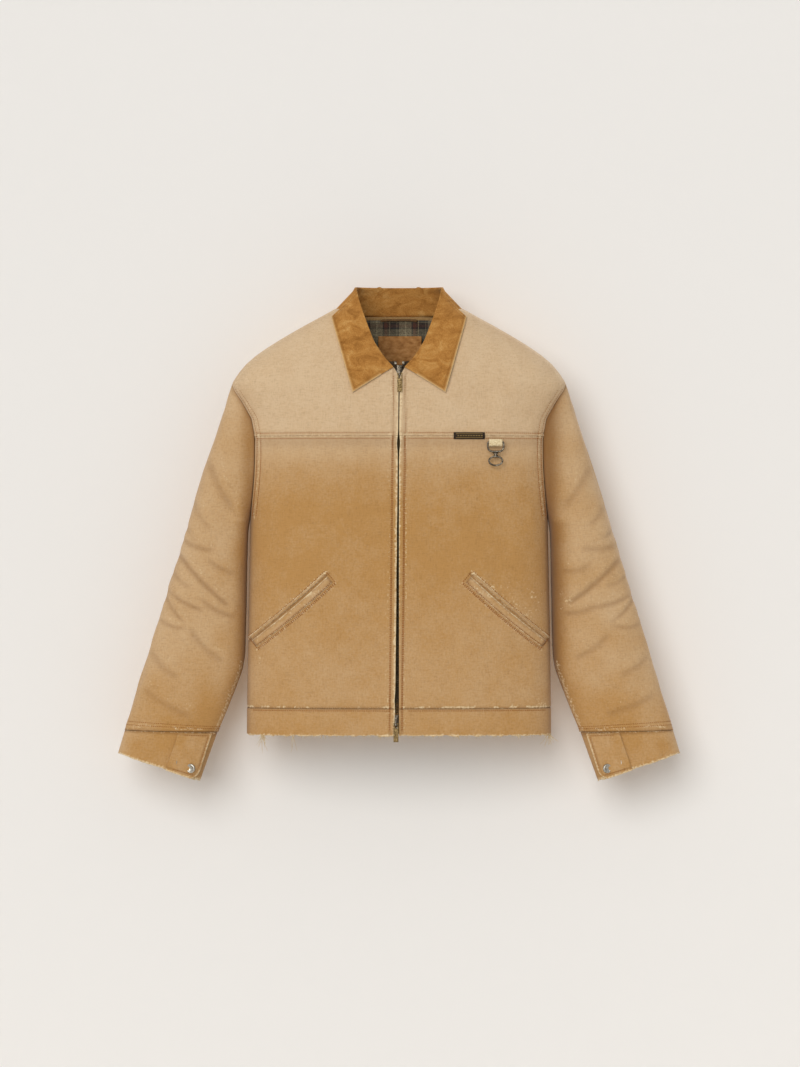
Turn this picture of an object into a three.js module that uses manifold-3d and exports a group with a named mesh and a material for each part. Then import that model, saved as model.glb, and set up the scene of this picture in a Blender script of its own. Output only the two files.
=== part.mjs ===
// A canvas work jacket with a point collar, a two-way front zip, slanted welt pockets
// and snapped cuffs. Millimetres, +Z up, the chest faces -Y, and the wearer's left is +X.
// The origin is the hanger loop, in the middle of the back neck seam.
import * as THREE from 'three';
import { mergeVertices } from 'three/addons/utils/BufferGeometryUtils.js';
import Module from 'manifold-3d';

const wasm = await Module();
wasm.setup();

// ---- Driving dimensions ----
const bodyLength = 662; // back neck seam to hem
const hemHalfWidth = 241;
const chestHalfWidth = 236;
const shoulderHalfWidth = 266;
const shoulderDrop = 107; // neck seam down to the shoulder tip
const neckHalfWidth = 95;
const neckRise = 12; // the neck-shoulder point above the back neck seam
const neckFrontDrop = 84; // the middle of the front neckline below the back neck seam
const frontDepth = 80; // body centre to chest
const backDepth = 66; // body centre to shoulder blades
const neckFrontDepth = 52;
const neckBackDepth = 58; // body centre to back neck seam
const sectionPower = 2.6; // 2 is an ellipse, more is squarer
const clothThickness = 3; // canvas with its seam allowance
const liningThickness = 1.5;
const doubledThickness = 5; // hem bands and cuffs
const yokeSeamDrop = 190;
const hemBandHeight = 43;
const armholeHeight = 218;
const armholeHalfDepth = 30;
const foldToPocket = 30.5; // the line where each front folds back, to the pocket's inner corner
const edgeHalfGap = 7.2; // the middle to each front edge
const sleeveLength = 573; // shoulder tip to cuff seam, along the outer edge
const sleeveHang = 17.06; // degrees from straight down
const sleeveHalfDepth = 43;
const wristWidth = 132;
const wristHalfDepth = 34;
const cuffOuterHeight = 37;
const cuffInnerHeight = 80;
const zipToothWidth = 4.2;
const zipToothHeight = 5;
const zipToothPitch = 12; // drawn coarser than the 2 mm of the real chain
const zipThickness = 2.4;
const zipLean = 0.0107; // the chain leans this much to the wearer's right on its way down
const tapeWidth = 14;
const tapeThickness = 1.2;
const sliderWidth = 11;
const sliderHeight = 18;
const sliderThickness = 2.2;
const pullWidth = 9.4;
const pullLength = 28;
const pullThickness = 1.6;
const pullBar = 1.7;
const bridgeThickness = 1.4;
const welt = { length: 155, height: 14, thickness: 2.5, innerZ: -411.5, slope: -0.847 };
const weltToSide = 4.2245; // the welt's lower corner to the side seam
const pocketDepth = 120;
const pocketFullness = 8;
const slitHeight = 8;
const collarThickness = 3;
const collarHeight = 47; // the roll line above the back neck seam
const collarTipDrop = 122;
const collarTipX = 74;
const chestLabel = { width: 49, height: 11, thickness: 1.2, startX: 86 };
const hardwareX = 152;
const webbingWidth = 20;
const wireRadius = 1.3;
const snapDiameter = 16.5;
const seam = 0.4; // between pieces that are sewn together
const running = 0.5; // between pieces that slide or turn
const chainGap = 0.3; // between the chain and the slider's plates

// ---- Values that follow from them ----
const centreY = -neckBackDepth;
const hemZ = -bodyLength;
const hemSeamZ = hemZ + hemBandHeight;
const yokeZ = -yokeSeamDrop;
const armpitZ = -shoulderDrop - armholeHeight;
const collarSeamZ = 3; // the collar is sewn on at this height beside the neck
const chestY = centreY - frontDepth;
const zipX = (z) => 1.5 + z * zipLean; // the middle of the chain at a height
const radians = Math.PI / 180;
const weltAngle = Math.atan(welt.slope);
welt.innerX = chestHalfWidth - weltToSide - welt.length * Math.cos(weltAngle);
const foldHalfWidth = welt.innerX - foldToPocket; // from the middle

const jacket = new THREE.Group();
jacket.name = 'canvas_work_jacket';
const finishes = {
  canvas: [0xb98f56, 0.9, 0],
  fadedCanvas: [0xcbb189, 0.92, 0],
  suede: [0xb07a35, 0.95, 0],
  plaid: [0x5c5548, 0.95, 0],
  leather: [0xa8713c, 0.7, 0],
  webbing: [0xd9bf93, 0.85, 0],
  weave: [0x2c221c, 0.8, 0],
  twill: [0x8d6f47, 0.9, 0],
  darkMetal: [0x55504a, 0.4, 1],
  snapMetal: [0xa9a6a0, 0.35, 1],
};

function add(name, finish, geometry) {
  const [color, roughness, metalness] = finishes[finish];
  const material = new THREE.MeshStandardMaterial({ color, roughness, metalness });
  const mesh = new THREE.Mesh(geometry, material);
  mesh.name = name;
  jacket.add(mesh);
  return mesh;
}

// ---- Surfaces ----
// A value read off straight lines between [place, value] points, with the places rising.
function along(points, place) {
  let i = 1;
  while (i < points.length - 1 && place > points[i][0]) i += 1;
  const [a, from] = points[i - 1];
  const [b, to] = points[i];
  const share = Math.min(1, Math.max(0, (place - a) / (b - a)));
  return from + (to - from) * share;
}

// Half the jacket's width at a height: hem, side, armhole, shoulder slope, neck.
const widthOutline = [
  [hemZ, hemHalfWidth],
  [armpitZ, chestHalfWidth],
  [yokeZ, chestHalfWidth - 2],
  [(yokeZ * 2 - shoulderDrop) / 3, chestHalfWidth + 2],
  [(yokeZ - shoulderDrop * 2) / 3, (chestHalfWidth + shoulderHalfWidth) / 2],
  [-shoulderDrop, shoulderHalfWidth],
  [-shoulderDrop * 0.75, shoulderHalfWidth * 0.93],
  [-shoulderDrop * 0.37, shoulderHalfWidth * 0.73],
  [0, neckHalfWidth * 1.27],
  [neckRise, neckHalfWidth],
  [collarHeight + 3, neckHalfWidth * 0.9],
];
const halfWidth = (z) => along(widthOutline, z);

const frontOutline = [
  [-neckFrontDrop, frontDepth],
  [neckRise, neckFrontDepth],
  [collarHeight, neckFrontDepth - 6],
];
const backOutline = [
  [hemZ, backDepth - 2],
  [-shoulderDrop * 1.6, backDepth],
  [0, neckBackDepth],
  [collarHeight, neckBackDepth - 6],
];
const halfDepth = (z, side) => along(side < 0 ? frontOutline : backOutline, z);

// The share of the half depth left at a share of the half width, on a squared ellipse.
const roundShare = (share) => (1 - Math.min(1, Math.abs(share)) ** sectionPower) ** (1 / sectionPower);

// A point of the body, `inset` inside its outer face. Side is -1 at the front, 1 at the back.
function bodyPoint(share, z, side, inset) {
  const x = share * (halfWidth(z) - inset);
  const y = centreY + side * (halfDepth(z, side) - inset) * roundShare(share);
  return new THREE.Vector3(x, y, z);
}

// The width share where the body meets the sleeve, or the side seam below the armhole.
function sideShare(z, side) {
  const fromMiddle = (z + shoulderDrop + armholeHeight / 2) / (armholeHeight / 2);
  const open = Math.abs(fromMiddle) < 1 ? armholeHalfDepth * Math.sqrt(1 - fromMiddle ** 2) : 0;
  const depth = Math.max(open, seam);
  return roundShare(Math.min(1, depth / halfDepth(z, side)));
}

// ---- Solids from grids ----
function closedGeometry(positions, triangles) {
  const geometry = new THREE.BufferGeometry();
  geometry.setAttribute('position', new THREE.Float32BufferAttribute(positions, 3));
  geometry.setIndex(triangles);
  return mergeVertices(geometry, 1e-4);
}

// A wall between two faces, each a function of u and v from 0 to 1. When `round` is true,
// u goes all the way round. The winding is turned so that the faces point out.
function wall(outer, inner, columns, rows, round = false) {
  const positions = [];
  const triangles = [];
  const across = round ? columns : columns + 1;
  const face = across * (rows + 1);
  for (const place of [outer, inner]) {
    for (let j = 0; j <= rows; j += 1) {
      for (let i = 0; i < across; i += 1) positions.push(...place(i / columns, j / rows).toArray());
    }
  }
  const at = (side, i, j) => side * face + j * across + (i % across);
  const quad = (a, b, c, d) => triangles.push(a, b, c, a, c, d);
  for (let j = 0; j < rows; j += 1) {
    for (let i = 0; i < columns; i += 1) {
      quad(at(0, i, j), at(0, i + 1, j), at(0, i + 1, j + 1), at(0, i, j + 1));
      quad(at(1, i, j), at(1, i, j + 1), at(1, i + 1, j + 1), at(1, i + 1, j));
    }
  }
  for (let i = 0; i < columns; i += 1) {
    quad(at(0, i + 1, 0), at(0, i, 0), at(1, i, 0), at(1, i + 1, 0));
    quad(at(0, i, rows), at(0, i + 1, rows), at(1, i + 1, rows), at(1, i, rows));
  }
  if (!round) {
    for (let j = 0; j < rows; j += 1) {
      quad(at(0, 0, j), at(0, 0, j + 1), at(1, 0, j + 1), at(1, 0, j));
      quad(at(0, columns, j + 1), at(0, columns, j), at(1, columns, j), at(1, columns, j + 1));
    }
  }
  return facingOut(closedGeometry(positions, triangles));
}

function signedVolume(geometry) {
  const p = geometry.getAttribute('position');
  const index = geometry.getIndex();
  const [a, b, c] = [new THREE.Vector3(), new THREE.Vector3(), new THREE.Vector3()];
  let total = 0;
  for (let i = 0; i < index.count; i += 3) {
    a.fromBufferAttribute(p, index.getX(i));
    b.fromBufferAttribute(p, index.getX(i + 1));
    c.fromBufferAttribute(p, index.getX(i + 2));
    total += a.dot(b.cross(c)) / 6;
  }
  return total;
}

function facingOut(geometry) {
  if (signedVolume(geometry) < 0) {
    const index = geometry.getIndex();
    for (let i = 0; i < index.count; i += 3) {
      const second = index.getX(i + 1);
      index.setX(i + 1, index.getX(i + 2));
      index.setX(i + 2, second);
    }
  }
  return geometry;
}

// ---- Booleans ----
function solid(geometry) {
  const plain = geometry.clone();
  for (const name of Object.keys(plain.attributes)) {
    if (name !== 'position') plain.deleteAttribute(name);
  }
  const merged = facingOut(mergeVertices(plain, 1e-4));
  const vertProperties = new Float32Array(merged.getAttribute('position').array);
  const triVerts = new Uint32Array(merged.getIndex().array);
  return new wasm.Manifold(new wasm.Mesh({ numProp: 3, vertProperties, triVerts }));
}

function fromSolid(shape) {
  const mesh = shape.getMesh();
  return closedGeometry([...mesh.vertProperties], [...mesh.triVerts]);
}

const cut = (geometry, tool) => fromSolid(solid(geometry).subtract(solid(tool)));
const join = (geometry, other) => fromSolid(solid(geometry).add(solid(other)));

function box(width, depth, height, x, y, z) {
  const geometry = new THREE.BoxGeometry(width, depth, height);
  geometry.translate(x, y, z);
  return geometry;
}

// A round disc or ring whose axis is Y, from y to y + thickness.
function disc(radius, bore, thickness, x, y, z, turn = 0) {
  const shape = new THREE.Shape();
  shape.absarc(0, 0, radius, 0, Math.PI * 2);
  if (bore > 0) {
    const hole = new THREE.Path();
    hole.absarc(0, 0, bore, 0, Math.PI * 2, true);
    shape.holes.push(hole);
  }
  const options = { depth: thickness, bevelEnabled: false, curveSegments: 10 };
  const geometry = new THREE.ExtrudeGeometry(shape, options);
  geometry.rotateX(Math.PI / 2);
  geometry.translate(0, thickness, 0);
  geometry.rotateZ(turn);
  geometry.translate(x, y, z);
  return geometry;
}

const clean = (geometry) => {
  const plain = geometry.clone();
  for (const name of Object.keys(plain.attributes)) {
    if (name !== 'position') plain.deleteAttribute(name);
  }
  return facingOut(mergeVertices(plain, 1e-4));
};

// A closed ring of round wire through points that lie in a plane facing Y.
function ringWire(points, radius) {
  const curve = new THREE.CatmullRomCurve3(points, true);
  const place = (u, v) => {
    const at = curve.getPointAt(u % 1);
    const ahead = curve.getTangentAt(u % 1);
    const outwards = new THREE.Vector3(-ahead.z, 0, ahead.x);
    const angle = v * Math.PI * 2;
    return at.addScaledVector(outwards, radius * Math.cos(angle)).setY(at.y + radius * Math.sin(angle));
  };
  return loopOfGrid(place, 24, 6);
}

// A closed surface whose u and v both go all the way round.
function loopOfGrid(place, columns, rows) {
  const positions = [];
  const triangles = [];
  for (let j = 0; j < rows; j += 1) {
    for (let i = 0; i < columns; i += 1) positions.push(...place(i / columns, j / rows).toArray());
  }
  const at = (i, j) => (j % rows) * columns + (i % columns);
  for (let j = 0; j < rows; j += 1) {
    for (let i = 0; i < columns; i += 1) {
      triangles.push(at(i, j), at(i + 1, j), at(i + 1, j + 1));
      triangles.push(at(i, j), at(i + 1, j + 1), at(i, j + 1));
    }
  }
  return facingOut(closedGeometry(positions, triangles));
}

// Bent round wire along a curve, with eight sides.
function wire(curve, radius, steps) {
  const section = new THREE.Shape();
  section.absarc(0, 0, radius, 0, Math.PI * 2);
  const options = { steps, extrudePath: curve, bevelEnabled: false, curveSegments: 4 };
  return new THREE.ExtrudeGeometry(section, options);
}

// ---- Panels of the body ----
// A panel between two width shares and two heights, both of which may depend on the other.
function panel(side, fromShare, toShare, lowZ, highZ, inset, thickness, columns, rows) {
  const place = (depth) => (u, v) => {
    const z = lowZ + (highZ - lowZ) * v;
    const from = fromShare(z);
    const to = toShare(z);
    return bodyPoint(from + (to - from) * u, z, side, depth);
  };
  return wall(place(inset), place(inset + thickness), columns, rows);
}

// Shares gather near the sides, where the body turns: 1 - (1 - q)^2 over the whole width.
function sharesTo(limit) {
  return (q) => Math.sign(q) * limit * (1 - (1 - Math.abs(q)) ** 2);
}

// The whole width of one side of the body, from armhole to armhole.
function fullPanel(side, lowZ, highZ, inset, thickness, columns, rows) {
  const place = (depth) => (u, v) => {
    const z = lowZ + (highZ - lowZ) * v;
    return bodyPoint(sharesTo(sideShare(z, side))(u * 2 - 1), z, side, depth);
  };
  return wall(place(inset), place(inset + thickness), columns, rows);
}

// The neckline: how high the cloth reaches at a place across the body.
function necklineZ(x, side) {
  const share = Math.min(1, Math.abs(x) / neckHalfWidth);
  const lowest = side < 0 ? -neckFrontDrop : 0;
  return lowest + (neckRise - lowest) * share ** 1.7;
}

// The shoulder line and the armhole, as heights at a place across the body.
function highestZ(x, side) {
  const reach = Math.abs(x);
  if (reach <= neckHalfWidth) return necklineZ(reach, side);
  return heightWhere(reach, -shoulderDrop, neckRise);
}
function lowestZ(x) {
  const reach = Math.abs(x);
  if (reach <= chestHalfWidth) return yokeZ;
  return heightWhere(reach, yokeZ, -shoulderDrop);
}
// The height between two limits where the half width is a given one, by halving.
function heightWhere(reach, low, high) {
  let [a, b] = [low, high];
  const rising = halfWidth(b) > halfWidth(a);
  for (let i = 0; i < 40; i += 1) {
    const middle = (a + b) / 2;
    if (halfWidth(middle) < reach === rising) a = middle;
    else b = middle;
  }
  return (a + b) / 2;
}

// A yoke panel, from the yoke seam up to the neckline and the shoulder line.
function yokePanel(side, fromX, toX, inset, thickness, columns, rows, topLimit = Infinity) {
  const place = (depth) => (u, v) => {
    const x = fromX + (toX - fromX) * u;
    const low = lowestZ(x) + seam;
    const high = Math.min(highestZ(x, side), topLimit);
    const z = low + (high - low) * (1 - (1 - v) ** 2);
    const reach = halfWidth(z);
    const limit = roundShare(seam / halfDepth(z, side));
    const share = Math.max(-limit, Math.min(limit, x / reach));
    const point = bodyPoint(share, z, side, depth);
    if (Math.abs(x) > neckHalfWidth) point.z -= depth * 0.6 * v ** 2;
    return point;
  };
  return wall(place(inset), place(inset + thickness), columns, rows);
}

const sides = [
  { tag: 'left', sign: 1 },
  { tag: 'right', sign: -1 },
];

// ---- Pockets ----
// A patch over the pocket line: u runs outwards along the mouth, v runs across it.
function pocketPatch(sign, startV, endV, inset, thickness, columns, rows, trim = 0) {
  const place = (depth) => (u, v) => {
    const run = trim + (welt.length - trim * 2) * u;
    const rise = startV + (endV - startV) * v;
    const x = welt.innerX + run * Math.cos(weltAngle) - rise * Math.sin(weltAngle);
    const z = welt.innerZ + run * Math.sin(weltAngle) + rise * Math.cos(weltAngle);
    const share = Math.min(0.995, x / halfWidth(z));
    return bodyPoint(sign * share, z, -1, depth);
  };
  return wall(place(inset), place(inset + thickness), columns, rows);
}

// The bag hangs straight down from the mouth, inside the front.
const bagStart = 6; // from the mouth's inner corner
const bagShortfall = 16; // how much narrower the bag is than the mouth
function pocketBag(sign, inset, thickness, trim, mouthRise) {
  const reach = welt.length * Math.cos(weltAngle) - bagShortfall;
  const place = (depth) => (u, v) => {
    const x = welt.innerX + bagStart + trim + (reach - trim * 2) * u;
    const mouth = welt.innerZ + (x - welt.innerX) * welt.slope + mouthRise;
    const floor = Math.max(hemSeamZ + 8, mouth - pocketDepth) + trim;
    const z = mouth + (floor - mouth) * v;
    return bodyPoint((sign * x) / halfWidth(z), z, -1, depth);
  };
  return wall(place(inset), place(inset + thickness), 6, 4);
}

for (const { tag, sign } of sides) {
  const foldShare = (z) => (sign * (foldHalfWidth + seam)) / halfWidth(z);
  const edgeShare = (z) => (sign * (foldHalfWidth - seam)) / halfWidth(z);
  const middleShare = (z) => (sign * edgeHalfGap + zipX(z)) / halfWidth(z);

  // Front panel, in two pieces that part at the fold line.
  const sidePlace = (depth, lowZ, highZ) => (u, v) => {
    const z = lowZ + (highZ - lowZ) * v;
    const from = Math.abs(foldShare(z));
    const to = sideShare(z, -1);
    return bodyPoint(sign * (from + (to - from) * (1 - (1 - u) ** 2)), z, -1, depth);
  };
  const lowZ = hemSeamZ + seam;
  const highZ = yokeZ - seam;
  const inner = sidePlace(clothThickness, lowZ, highZ);
  const whole = wall(sidePlace(0, lowZ, highZ), inner, 9, 12);
  const slit = pocketPatch(sign, running, running + slitHeight, -4, clothThickness + 8, 5, 1, 5);
  add(`front_panel_${tag}`, 'canvas', cut(whole, slit));
  add(`front_edge_${tag}`, 'canvas', panel(-1, middleShare, edgeShare, lowZ, highZ, 0, clothThickness, 3, 8));

  // Yoke, in the same two pieces.
  const yokeFrom = sign * (foldHalfWidth + seam);
  const yokeTo = sign * (shoulderHalfWidth - 5);
  const yokeSide = yokePanel(-1, yokeFrom, yokeTo, 0, clothThickness, 12, 8, collarSeamZ);
  add(`front_yoke_${tag}`, 'fadedCanvas', yokeSide);
  const edgeFrom = sign * edgeHalfGap;
  const edgeTo = sign * (foldHalfWidth - seam);
  const yokeEdge = yokePanel(-1, edgeFrom, edgeTo, 0, clothThickness, 5, 6, collarSeamZ - 5);
  add(`yoke_edge_${tag}`, 'fadedCanvas', yokeEdge);

  // Hem band of the front edge.
  const bandTop = hemSeamZ - seam;
  const hemEdge = panel(-1, middleShare, edgeShare, hemZ, bandTop, 0, doubledThickness, 3, 1);
  add(`hem_edge_${tag}`, 'canvas', hemEdge);

  // Pocket: welt over the lower lip, bag behind the mouth.
  const weltBlank = pocketPatch(sign, -welt.height, 0, -welt.thickness - seam, welt.thickness + 3, 10, 2);
  const under = wall(sidePlace(-seam, lowZ, highZ), sidePlace(clothThickness + 4, lowZ, highZ), 9, 12);
  add(`pocket_welt_${tag}`, 'canvas', cut(weltBlank, under));
  const bagOuter = pocketBag(sign, clothThickness + seam, pocketFullness + 2, 0, slitHeight + 6);
  const bagInner = pocketBag(sign, clothThickness + seam + 1, pocketFullness, 2, slitHeight + 3);
  const mouth = pocketPatch(sign, running, running + slitHeight, clothThickness - 1, 7, 5, 1, 9);
  add(`pocket_bag_${tag}`, 'twill', cut(cut(bagOuter, bagInner), mouth));
}

// ---- Back ----
add('back_panel', 'canvas', fullPanel(1, hemSeamZ + seam, yokeZ - seam, 0, clothThickness, 18, 9));
{
  const reach = shoulderHalfWidth - 5;
  add('back_yoke', 'fadedCanvas', yokePanel(1, -reach, reach, 0, clothThickness, 24, 7, collarSeamZ));
}

// The hem band goes round from one fold line, over the back, to the other.
{
  const place = (depth) => (u, v) => {
    const z = hemZ + (hemSeamZ - seam - hemZ) * v;
    const start = (foldHalfWidth + seam) / halfWidth(z);
    const turn = 4 * u - 2;
    if (Math.abs(turn) <= 1) return bodyPoint(Math.sign(turn) * (1 - (1 - Math.abs(turn)) ** 2), z, 1, depth);
    const back = 2 - Math.abs(turn);
    const share = start + (1 - start) * (1 - (1 - back) ** 2);
    return bodyPoint(Math.sign(turn) * share, z, -1, depth);
  };
  add('hem_band', 'canvas', wall(place(0), place(doubledThickness), 36, 1));
}

// ---- Lining: a plaid layer a little inside the body ----
const liningInset = clothThickness + 3;
const liningTop = -11;
{
  const reach = (z) => Math.min(sideShare(z, 1), 0.97 - 0.32 * Math.max(0, 1 - z / yokeZ));
  const place = (depth) => (u, v) => {
    const z = hemSeamZ + 6 + (liningTop - hemSeamZ - 6) * v;
    return bodyPoint(sharesTo(reach(z))(u * 2 - 1), z, 1, depth);
  };
  add('lining_back', 'plaid', wall(place(liningInset), place(liningInset + liningThickness), 12, 9));
}
for (const { tag, sign } of sides) {
  const inset = clothThickness + pocketFullness + 3;
  const from = (z) => (sign * (foldHalfWidth + 2)) / halfWidth(z);
  const to = (z) => sign * Math.min(0.93, sideShare(z, -1) - 0.03);
  const bottom = hemSeamZ + 6;
  add(`lining_front_${tag}`, 'plaid', panel(-1, from, to, bottom, yokeZ + 40, inset, liningThickness, 7, 7));
}

// ---- Sleeves ----
const outerRun = (length) => {
  const angle = sleeveHang * radians;
  const top = new THREE.Vector2(shoulderHalfWidth + 1.5, -shoulderDrop);
  return top.add(new THREE.Vector2(Math.sin(angle), -Math.cos(angle)).multiplyScalar(length));
};
const cuffSeamOuter = outerRun(sleeveLength);
const cuffSeamInner = cuffSeamOuter.clone().add(new THREE.Vector2(-wristWidth, -2));
const across = new THREE.Vector2(Math.sin(sleeveHang * radians), -Math.cos(sleeveHang * radians));
const cuffEndOuter = cuffSeamOuter.clone().addScaledVector(across, cuffOuterHeight);
const cuffEndInner = cuffSeamInner.clone().addScaledVector(across, cuffInnerHeight);
const sleeveBay = 6; // between the sleeve's inner edge and the body's side
const stations = [0, 0.1, 0.3, 0.62, 1];
const outerX = stations.map((t) => [t, outerRun(sleeveLength * t).x]);
const outerZ = stations.map((t) => [t, outerRun(sleeveLength * t).y]);
const partingZ = armpitZ - 205; // where the sleeve leaves the body's side
const innerX = [
  [0, chestHalfWidth + 1],
  [0.1, halfWidth(armpitZ - 20) + sleeveBay],
  [0.62, halfWidth(partingZ) + sleeveBay + 2],
  [1, cuffSeamInner.x],
];
const innerZ = [
  [0, armpitZ],
  [0.1, armpitZ - 20],
  [0.62, partingZ],
  [1, cuffSeamInner.y],
];
const sleeveDepths = [
  [0, armholeHalfDepth],
  [0.12, sleeveHalfDepth - 4],
  [0.4, sleeveHalfDepth],
  [1, wristHalfDepth],
];

// A point of the sleeve, t along it from the armhole to the cuff seam.
function sleevePoint(sign, t, turn, inset) {
  const angle = turn * Math.PI * 2;
  const c = Math.sign(Math.cos(angle)) * Math.abs(Math.cos(angle)) ** 0.9;
  const s = Math.sign(Math.sin(angle)) * Math.abs(Math.sin(angle)) ** 0.9;
  const [ox, oz] = [along(outerX, t), along(outerZ, t)];
  const [ix, iz] = [along(innerX, t), along(innerZ, t)];
  const half = Math.hypot(ox - ix, oz - iz) / 2;
  const keep = (half - inset) / half;
  let x = (ox + ix) / 2 + ((ox - ix) / 2) * c * keep;
  const z = (oz + iz) / 2 + ((oz - iz) / 2) * c * keep;
  const y = centreY + (along(sleeveDepths, t) - inset) * s;
  // At its top the sleeve follows the armhole, which bows in towards the body.
  const topZ = -shoulderDrop - (armholeHeight / 2) * (1 - c);
  const straight = shoulderHalfWidth + 1.5 + (chestHalfWidth - shoulderHalfWidth) * ((1 - c) / 2);
  const armhole = halfWidth(topZ) * sideShare(topZ, -1) + 3.9;
  x += (armhole - straight) * Math.max(0, 1 - t / 0.3) ** 2;
  return new THREE.Vector3(sign * x, y, z);
}

const cuffPower = 0.7; // squarer than the sleeve, where the cuff is doubled and stiff
function cuffPoint(sign, v, turn, inset) {
  const angle = turn * Math.PI * 2;
  const c = Math.sign(Math.cos(angle)) * Math.abs(Math.cos(angle)) ** cuffPower;
  const s = Math.sign(Math.sin(angle)) * Math.abs(Math.sin(angle)) ** cuffPower;
  const outer = cuffSeamOuter.clone().lerp(cuffEndOuter, v);
  const inner = cuffSeamInner.clone().lerp(cuffEndInner, v);
  const half = outer.distanceTo(inner) / 2;
  const keep = (half - inset) / half;
  const middle = outer.clone().add(inner).multiplyScalar(0.5);
  const arm = outer.clone().sub(inner).multiplyScalar(0.5 * c * keep);
  const y = centreY + (wristHalfDepth - inset) * s;
  return new THREE.Vector3(sign * (middle.x + arm.x), y, middle.y + arm.y);
}

const tabFrom = 0.3; // the tab's hinge line, as a share from the cuff's middle to its inner edge
const tabTo = 0.84;
const snapAt = { across: 0.6, down: 0.72 };
const studHeight = 1.8;
const tabThickness = 2.5;
const snapTurn = 0.24; // radians that the cuff's front slopes back at the snap

// A point in front of the cuff, `lift` off its cloth, at a share from its middle to its inner edge.
function cuffFront(sign, share, v, lift) {
  const outer = cuffSeamOuter.clone().lerp(cuffEndOuter, v);
  const inner = cuffSeamInner.clone().lerp(cuffEndInner, v);
  const middle = outer.clone().add(inner).multiplyScalar(0.5);
  const place = middle.lerp(inner, share);
  const deep = (1 - share ** (2 / cuffPower)) ** (cuffPower / 2);
  return new THREE.Vector3(sign * place.x, centreY - wristHalfDepth * deep - lift, place.y);
}
// The tab rises off the cuff from its sewn end, to leave room for the snap's stud.
const tabRise = (share) => running + (studHeight + 0.6) * Math.min(1, (share - tabFrom) / 0.2);

for (const { tag, sign } of sides) {
  const outer = (u, v) => sleevePoint(sign, v, u, 0);
  const inner = (u, v) => sleevePoint(sign, v, u, clothThickness);
  add(`sleeve_${tag}`, 'fadedCanvas', wall(outer, inner, 16, 12, true));
  const cuffStart = seam / cuffOuterHeight;
  const cuffFace = (depth) => (u, v) => cuffPoint(sign, cuffStart + v * (1 - cuffStart), u, depth);
  add(`cuff_${tag}`, 'canvas', wall(cuffFace(0), cuffFace(doubledThickness), 16, 2, true));

  // The cuff's overlapping end, which a snap holds down.
  const tab = (lift) => (u, v) => {
    const share = tabFrom + (tabTo - tabFrom) * u;
    return cuffFront(sign, share, 0.06 + 0.9 * v, tabRise(share) + lift);
  };
  add(`cuff_tab_${tag}`, 'canvas', wall(tab(tabThickness), tab(0), 4, 2));
  const at = cuffFront(sign, snapAt.across, snapAt.down, 0);
  const rise = tabRise(snapAt.across);
  const turn = -sign * snapTurn;
  const [capRadius, capHeight] = [snapDiameter / 2, 2.2];
  const capY = at.y - rise - tabThickness - seam - capHeight - 0.3;
  add(`snap_cap_${tag}`, 'snapMetal', disc(capRadius, 0, capHeight, at.x, capY, at.z, turn));
  const socketHeight = 1.4;
  const socketY = at.y - rise + 1.1;
  add(`snap_socket_${tag}`, 'snapMetal', disc(capRadius - 1.4, 5, socketHeight, at.x, socketY, at.z, turn));
  add(`snap_stud_${tag}`, 'snapMetal', disc(3.8, 0, studHeight, at.x, at.y - studHeight - 0.4, at.z, turn));
}

// ---- Collar ----
// The collar goes round the neck from one front to the other; the angle is from the back.
const collarTurn = 138;
function collarPoint(degrees, v, low, high) {
  const angle = degrees * radians;
  const half = low.half + (high.half - low.half) * v;
  const deep = (low.deep + (high.deep - low.deep) * v) * (Math.cos(angle) > 0 ? 1 : 0.92);
  const round = (value) => Math.sign(value) * Math.abs(value) ** (2 / sectionPower);
  const z = low.z + (high.z - low.z) * v;
  return new THREE.Vector3(half * round(Math.sin(angle)), centreY + deep * round(Math.cos(angle)), z);
}
function collarWall(turn, low, high, columns, rows) {
  const inside = ({ half, deep, z }) => ({ half: half - collarThickness, deep: deep - collarThickness, z });
  const place = (from, to) => (u, v) => collarPoint(turn * (2 * u - 1), v, from, to);
  return wall(place(low, high), place(inside(low), inside(high)), columns, rows);
}
const rollHalf = 67;
const rollDeep = 54;
const fallLow = { half: 109, deep: neckBackDepth + 6, z: collarSeamZ + seam * 2 };
const fallHigh = { half: rollHalf, deep: rollDeep, z: collarHeight };
add('collar_fall', 'suede', collarWall(collarTurn, fallLow, fallHigh, 24, 3));
const standLow = { half: neckHalfWidth - 3, deep: neckBackDepth, z: collarSeamZ + seam };
const standInset = collarThickness + 0.7;
const standHigh = { half: rollHalf - standInset, deep: rollDeep - standInset, z: collarHeight - 2 };
add('collar_stand', 'suede', collarWall(collarTurn - 8, standLow, standHigh, 24, 2));

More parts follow.
